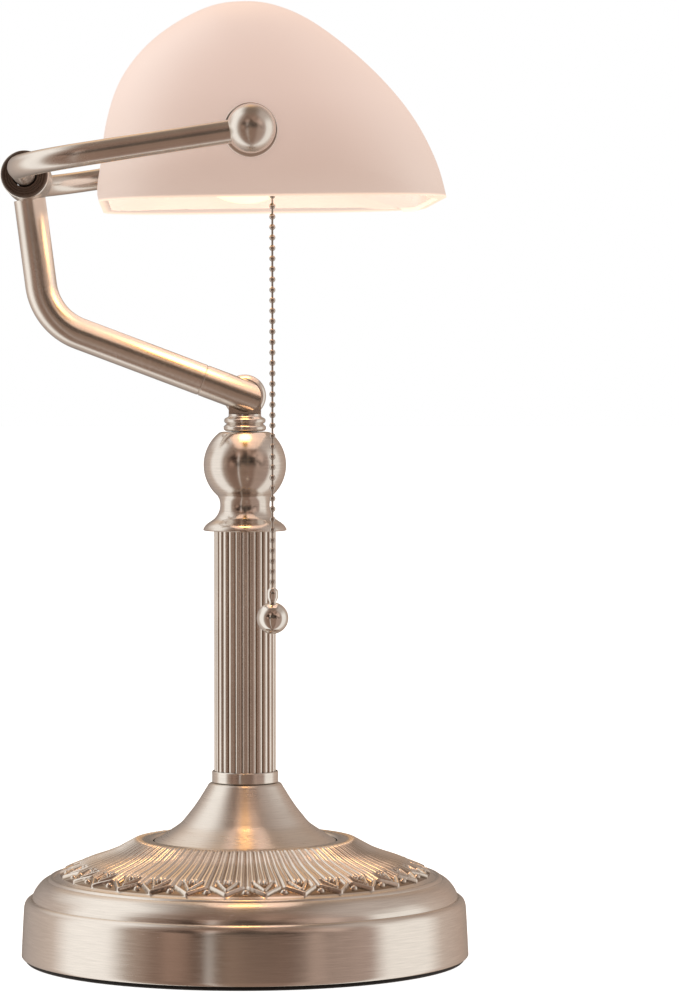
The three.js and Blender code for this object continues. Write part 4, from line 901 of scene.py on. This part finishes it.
def make_bush(side):
    """A nylon bush with fine rings turned in its face."""
    face = 32.8
    flange, spigot, bore = 9.2, 7.6, 4.95
    rings = []
    for radius in (8.1, 7.1, 6.2):
        for inward, depth in ((0, 0), (0.18, 0.35), (0.42, 0.35), (0.6, 0)):
            rings.append((radius - inward, face - depth))
    profile = [
        (bore, HUB_HALF - 9), (spigot, HUB_HALF - 9), (spigot, HUB_HALF + 0.3), (flange, HUB_HALF + 0.3),
        (flange, face - 0.5), (flange - 0.5, face), *rings, (5.2, face), (bore, face - 0.3),
    ]
    return move(aim(turn(profile, 72), (side, 0, 0)), HUB)


finish_piece("bent_arm", make_arm_tube(), "arm", TUBE_NICKEL, ["lower_arm_tube"])
finish_piece("hub_barrel", make_hub_sleeve(), "arm", TUBE_NICKEL, ["hub_sleeve"])
for end, side in SIDES.items():
    finish_piece(f"pivot_bush_{end}", make_bush(side), "arm", NYLON, [f"hub_bush_{end}"])

# ---- Yoke ----

BALL_RADIUS = 9.3


def make_yoke_tube(side, ball):
    corner = Vector((ball.x, HUB.y, HUB.z))
    start = HUB + Vector((side * 5.0, 0, 0))
    ahead = (ball - corner).normalized()
    end = ball - ahead * 5.0
    cap = [(0.0, YOKE_RADIUS), (0.05, 3.0)]
    return tube_along(start, corner, end, 27.0, YOKE_RADIUS, 56, 40, (cap, cap))


def make_ball():
    profile = [(0, -BALL_RADIUS), *arc_line((0, 0), BALL_RADIUS, -89, 89, 60), (0, BALL_RADIUS)]
    return turn(profile, 96, closed=False)


def make_ball_washer(side, node_name):
    low, high = low_corner(node_name), high_corner(node_name)
    radius = high.z - SHADE_AXIS.z
    inner, outer = (high.x, low.x) if side < 0 else (low.x, high.x)
    thick, bore, corner = abs(outer - inner), 4.3, 0.5
    profile = [
        (bore, 0), (radius - 0.3, 0), (radius, 0.3), (radius, thick - corner),
        *arc_line((radius - corner, thick - corner), corner, 0, 90, 4), (bore, thick),
    ]
    return move(aim(turn(profile, 72), (side, 0, 0)), (inner, 0, SHADE_AXIS.z))


for end, side in SIDES.items():
    ball = middle(f"yoke_ball_{end}")
    ball.y, ball.z = SHADE_AXIS.y, SHADE_AXIS.z
    finish_piece(
        f"yoke_arm_{end}", make_yoke_tube(side, ball), "yoke", TUBE_NICKEL,
        [f"yoke_tube_{end}"],
    )
    finish_piece(
        f"ball_end_{end}", move(make_ball(), ball), "yoke", TUBE_NICKEL,
        [f"yoke_ball_{end}"],
    )
    finish_piece(
        f"ball_collar_{end}", make_ball_washer(side, f"ball_washer_{end}"), "yoke", BRIGHT_NICKEL,
        [f"ball_washer_{end}"],
    )

# ---- Glass shade ----

SHADE_OUTLINE = [
    (-77.2, -25.5), (-73.0, -10.5), (-64.8, 5.6), (-53.5, 20.0), (-38.8, 33.8), (-23.0, 45.0),
    (-9.0, 50.6), (3.5, 51.6), (15.5, 49.4), (29.5, 42.2), (41.0, 32.6), (49.6, 20.4), (54.4, 6.0),
    (56.7, -10.0), (57.6, -25.0),
]
# Closes the section below the rim, where the shade is cut off
SHADE_FLOOR = [(48.0, -36.0), (20.0, -41.0), (-15.0, -41.0), (-55.0, -39.0), (-73.0, -33.0)]
SHADE_HALF = high_corner("glass_shade").x
SHADE_STRAIGHT = 65.0
SHADE_SEAT = 0.3
GLASS = 3.5


def pull_in(mesh, loop, share):
    """Scales a ring of the shade towards its axis."""
    bmesh.ops.scale(mesh, vec=(1, share, share), verts=verts_of(loop))


def make_shade():
    """The section's line is drawn along the shade's axis and pulled in to a seat at each end."""
    mesh = bmesh.new()
    points = smooth_line([*SHADE_OUTLINE, *SHADE_FLOOR, SHADE_OUTLINE[0]], 6)
    verts = [mesh.verts.new((0, y, z)) for y, z in points[:-1]]
    loop = [mesh.edges.new(pair) for pair in zip(verts, [*verts[1:], verts[0]])]
    loop = draw_on(mesh, loop, (SHADE_STRAIGHT, 0, 0))
    fall = SHADE_HALF - SHADE_STRAIGHT
    out, width = SHADE_STRAIGHT, 1.0
    rounds = 22
    for step in range(1, rounds + 1):
        angle = math.radians(90 - 90 * step / rounds)
        share = SHADE_SEAT + (1 - SHADE_SEAT) * math.sin(angle)
        reach = SHADE_STRAIGHT + fall * math.cos(angle)
        loop = draw_on(mesh, loop, (reach - out, 0, 0))
        pull_in(mesh, loop, share / width)
        out, width = reach, share
    for share in (0.18, 0.1):
        loop = draw_on(mesh, loop, (0, 0, 0))
        pull_in(mesh, loop, share / width)
        width = share
    bmesh.ops.mirror(mesh, geom=[*mesh.verts, *mesh.edges, *mesh.faces], merge_dist=0.01, axis="X")
    return mesh


def finish_shade():
    """The shade cut off at its rim, given its wall and its rounded edge."""
    mesh = make_shade()
    bmesh.ops.remove_doubles(mesh, verts=mesh.verts, dist=0.01)
    rim = Vector((0, 0, -RIM_DROP))
    down = Vector((0, -math.sin(RIM_TILT), -math.cos(RIM_TILT)))
    bmesh.ops.bisect_plane(
        mesh, geom=[*mesh.verts, *mesh.edges, *mesh.faces], plane_co=rim, plane_no=down, clear_outer=True,
    )
    made = finish_piece(
        "opal_shade", move(mesh, SHADE_AXIS), "shade", OPAL_GLASS, ["glass_shade"],
        math.radians(60),
    )
    wall = made.modifiers.new("glass", "SOLIDIFY")
    wall.thickness = GLASS * MM
    wall.offset = -1
    wall.use_even_offset = True
    edge = made.modifiers.new("fired_edge", "BEVEL")
    edge.width = 0.9 * MM
    edge.segments = 3
    edge.limit_method = "ANGLE"
    edge.angle_limit = math.radians(50)


finish_shade()

# ---- Lampholder and bulb ----


def on_shade_axis(mesh):
    return move(aim(mesh, (-1, 0, 0)), (0, SHADE_AXIS.y, SHADE_AXIS.z))


def hang(mesh):
    return move(mesh, (CHAIN_TOP.x, CHAIN_TOP.y, 0))


def make_bulb():
    low, high = low_corner("bulb_glass"), high_corner("bulb_glass")
    radius = (high.z - low.z) / 2
    centre = -(high.x - radius)
    neck = 11.8
    start = -low.x
    line = smooth_line([
        (neck, start), (neck, start - 6), (neck + 1.2, start - 11), (neck + 6.0, centre + 17.2),
    ], 6)
    return on_shade_axis(turn([*line, *arc_line((0, centre), radius, 38, -90, 40)], 72, closed=False))


def make_socket_shell():
    outer = (high_corner("socket_shell").z - low_corner("socket_shell").z) / 2
    mouth, top = -high_corner("socket_shell").x, -low_corner("socket_shell").x
    beads = []
    for height in (mouth + 8, mouth + 12):
        beads += [(outer - 0.4, height - 1), (outer, height), (outer - 0.4, height + 1)]
    profile = [
        (outer - 1.1, mouth), (outer, mouth), (outer, mouth + 2), (outer - 0.4, mouth + 2.6), *beads,
        (outer - 0.4, top), (outer - 1.1, top),
    ]
    return on_shade_axis(turn(profile, 72))


def make_socket_cap():
    outer = (high_corner("socket_cap").z - low_corner("socket_cap").z) / 2
    mouth, top = -high_corner("socket_cap").x, -low_corner("socket_cap").x
    length = top - mouth
    crown = smooth_line([
        (0.55 * outer, top), (0.72 * outer, top - 0.2 * length), (0.9 * outer, top - 0.55 * length),
        (outer, mouth + 2.5), (outer, mouth),
    ], 5)
    profile = [
        (4.3, top), *crown, (outer - 0.7, mouth), (0.83 * outer, top - 0.6 * length),
        (0.6 * outer, top - 0.3 * length), (4.3, top - 0.3 * length),
    ]
    return on_shade_axis(turn(profile, 72))


def make_chain_bell():
    low, high = low_corner("chain_bell").z, high_corner("chain_bell").z
    profile = smooth_line([(2.5, high), (2.6, low + 4.0), (2.9, low + 2.4), (3.6, low + 0.6)], 5)
    profile += [(3.6, low), (2.9, low), (1.9, low + 3), (1.8, high)]
    return hang(turn(profile, 40))


finish_piece("frosted_globe", make_bulb(), "yoke", BULB_FROST, ["bulb_glass"])
finish_piece("lampholder_shell", make_socket_shell(), "yoke", BRASS, ["socket_shell"])
finish_piece("lampholder_cap", make_socket_cap(), "yoke", BRASS, ["socket_cap"])
finish_piece("chain_outlet", make_chain_bell(), "yoke", BRASS, ["chain_bell"])

# ---- Pull chain ----

BEAD_PITCH = 4.0
BEAD_RADIUS = 1.2
LINK_RADIUS = 0.42


def make_beads(node_name):
    """A string of beads on short links, as long as its CAD node."""
    top = high_corner(node_name).z
    count = round((top - low_corner(node_name).z) / BEAD_PITCH)
    profile = [(0, top)]
    reach = math.degrees(math.asin(LINK_RADIUS / BEAD_RADIUS))
    for bead in range(count):
        centre = top - (bead + 0.5) * BEAD_PITCH
        profile.append((LINK_RADIUS, centre + 0.5 * BEAD_PITCH - 0.01))
        profile += arc_line((0, centre), BEAD_RADIUS, 90 - reach, reach - 90, 8)
    foot = top - count * BEAD_PITCH
    profile += [(LINK_RADIUS, foot + 0.01), (0, foot)]
    return hang(turn(profile, 14, closed=False))


def make_connector():
    low, high = low_corner("chain_connector").z, high_corner("chain_connector").z
    waist = [
        (0, high), (1.1, high), (2.0, high - 0.9), (2.2, high - 1.8), (2.2, high - 3.6), (1.8, high - 4.6),
        (1.35, low + 0.6), (1.35, low), (0, low),
    ]
    return hang(turn(waist, 32, closed=False))


def make_pull_ball():
    radius = (high_corner("pull_ball").x - low_corner("pull_ball").x) / 2
    centre = low_corner("pull_ball").z + radius
    profile = [
        (0, centre - radius), *arc_line((0, centre), radius, -88, 72, 40), (0.9, centre + 0.96 * radius),
        (0, centre + 0.95 * radius),
    ]
    return hang(turn(profile, 64, closed=False))


finish_piece(
    "bead_chain", make_beads("pull_chain"), "chain", CHAIN_NICKEL, ["pull_chain"],
)
finish_piece(
    "switch_beads", make_beads("switch_chain"), "switch", CHAIN_NICKEL, ["switch_chain"],
)
finish_piece(
    "chain_coupling", make_connector(), "chain", BRIGHT_NICKEL, ["chain_connector"],
)
finish_piece("pull_weight", make_pull_ball(), "chain", BRIGHT_NICKEL, ["pull_ball"])

# ---- CAD nodes that show as they are ----

CARRIED = {
    "bottom_plate": ZINC, "base_weight": IRON, "threaded_rod": ZINC, "rod_nut": ZINC, "rod_washer": ZINC,
    "knuckle_spring_washer": ZINC, "arm_lead": PVC, "yoke_joiner": ZINC, "yoke_lead": PVC,
    "shade_nipple_near": ZINC, "shade_nipple_far": ZINC, "retainer_nut": BRASS, "socket_liner": FIBRE,
    "socket_core": PHENOLIC, "socket_thread": BRASS, "centre_contact": BRASS, "bulb_cap": ZINC,
    "outer_gasket_near": RUBBER, "outer_gasket_far": RUBBER, "inner_gasket_near": RUBBER,
    "inner_gasket_far": RUBBER,
}
for name, finish in CARRIED.items():
    nodes[name].data.materials.clear()
    nodes[name].data.materials.append(finish)

# ---- Studio ----


def make_floor():
    """A wide pale floor that the metal doesn't mirror."""
    material, _, shader = new_finish("studio_floor")
    shader.inputs["Base Color"].default_value = (0.9, 0.9, 0.9, 1)
    shader.inputs["Roughness"].default_value = 0.9
    shader.inputs["Specular IOR Level"].default_value = 0.0
    shader.inputs["Emission Color"].default_value = (1, 1, 1, 1)
    shader.inputs["Emission Strength"].default_value = 0.95
    mesh = bmesh.new()
    bmesh.ops.create_circle(mesh, cap_ends=True, radius=12.0, segments=64)
    bmesh.ops.translate(mesh, vec=(0, 0, -0.0002), verts=mesh.verts)
    data = bpy.data.meshes.new("floor")
    mesh.to_mesh(data)
    mesh.free()
    data.materials.append(material)
    floor = bpy.data.objects.new("floor", data)
    bpy.context.scene.collection.objects.link(floor)
    floor.visible_glossy = False
    floor.visible_diffuse = False


SOFT_BOX = (1.12, 1.08, 1.03)
RIGHT_BOX = (1.02, 0.97, 0.91)
TAN = (0.66, 0.55, 0.48)
BROWN = (0.29, 0.19, 0.145)
# Angle round from the camera's direction in degrees, with the room's tone at eye level
ROOM_LEVEL = [
    (-180, (0.24, 0.20, 0.17)), (-156, (0.46, 0.39, 0.35)), (-121, TAN), (-106, SOFT_BOX),
    (-78, SOFT_BOX), (-66, (0.42, 0.33, 0.27)), (-52, BROWN), (-25, (0.25, 0.16, 0.12)),
    (-22, (0.80, 0.75, 0.70)), (-18, (0.28, 0.19, 0.14)),
    (6, BROWN), (18, (0.27, 0.175, 0.135)), (30, (0.46, 0.34, 0.28)), (64, (0.44, 0.33, 0.28)),
    (74, RIGHT_BOX), (104, RIGHT_BOX), (118, (0.64, 0.53, 0.46)), (146, (0.50, 0.38, 0.31)),
    (180, (0.24, 0.20, 0.17)),
]
# The same higher up, where the left box still shows and the right one has ended
ROOM_HIGH = [
    (-180, (1.15, 0.74, 0.42)), (-156, (0.78, 0.66, 0.56)), (-140, SOFT_BOX), (-84, SOFT_BOX),
    (-60, (0.40, 0.31, 0.26)), (-40, BROWN), (30, BROWN), (66, (0.55, 0.47, 0.42)),
    (110, (0.55, 0.47, 0.42)), (150, (0.40, 0.31, 0.25)), (180, (1.15, 0.74, 0.42)),
]
ZENITH = (0.24, 0.175, 0.135)
OPERATOR = (0.05, 0.038, 0.03)  # the dark shape by the camera


def make_studio_light():
    """Room light as the metal mirrors it: a tall soft box on each side and a dim warm front."""
    world = bpy.data.worlds.new("studio")
    bpy.context.scene.world = world
    world.use_nodes = True
    tree = world.node_tree
    background = tree.nodes["Background"]
    direction = node(tree, "ShaderNodeTexCoord").outputs["Generated"]
    x, y, height = split_up(tree, direction)
    away = math_of(tree, "MULTIPLY", x, -1.0)
    rightward = math_of(tree, "MULTIPLY", y, -1.0)
    around = math_of(tree, "ARCTAN2", rightward, away)
    turned = math_of(tree, "ADD", around, CAMERA_HEADING)
    share = between(tree, turned, 0.0, 1.0, -math.pi, math.pi)
    rings = [
        tones(tree, share, [((angle + 180) / 360, tone) for angle, tone in ring])
        for ring in (ROOM_LEVEL, ROOM_HIGH)
    ]
    walls = blend_tones(tree, between(tree, height, 0.0, 1.0, 0.30, 0.62), *rings)
    roof = between(tree, height, 0.0, 1.0, 0.82, 0.97)
    roofed = blend_tones(tree, roof, walls, ZENITH)
    sideways = math_of(tree, "MULTIPLY", math_of(tree, "SUBTRACT", turned, math.radians(3)), 0.65)
    upward = math_of(tree, "SUBTRACT", height, 0.24)
    from_operator = vector_of(tree, "LENGTH", put_together(tree, sideways, upward))
    shade = between(tree, from_operator, 1.0, 0.0, 0.20, 0.30)
    fronted = blend_tones(tree, shade, roofed, OPERATOR)
    clutter = between(tree, noise(tree, direction, 2.6, 2.0), 0.2, 1.9, 0.40, 0.60)
    frontness = between(tree, away, 0.0, 1.0, 0.45, 0.75)
    raised = between(tree, height, 0.1, 1.0, -0.06, 0.04)
    frontness = math_of(tree, "MULTIPLY", frontness, raised)
    made = node(tree, "ShaderNodeMix", data_type="FLOAT")
    join(tree, frontness, made.inputs[0])
    join(tree, 1.0, made.inputs[2])
    join(tree, clutter, made.inputs[3])
    amount = made.outputs[0]
    room = vector_of(tree, "MULTIPLY", fronted, put_together(tree, amount, amount, amount))
    straight = node(tree, "ShaderNodeLightPath").outputs["Is Camera Ray"]
    seen = blend_tones(tree, straight, room, (1.0, 1.0, 1.0))
    join(tree, seen, background.inputs["Color"])
    background.inputs["Strength"].default_value = 1.0


def make_bulb_glow():
    """The bulb's downward light as the metal below mirrors it."""
    data = bpy.data.lights.new("bulb_glow", "AREA")
    data.shape = "DISK"
    data.size = 0.046
    data.energy = 0.036
    data.color = (1.0, 0.48, 0.13)
    glow = bpy.data.objects.new("bulb_glow", data)
    bulb = middle("bulb_glass")
    glow.location = (bulb.x * MM, bulb.y * MM, (low_corner("glass_shade").z - 0.6) * MM)
    glow.visible_camera = False
    glow.visible_diffuse = False
    bpy.context.scene.collection.objects.link(glow)


make_floor()
make_studio_light()
make_bulb_glow()
bpy.context.scene.view_settings.view_transform = "Standard"
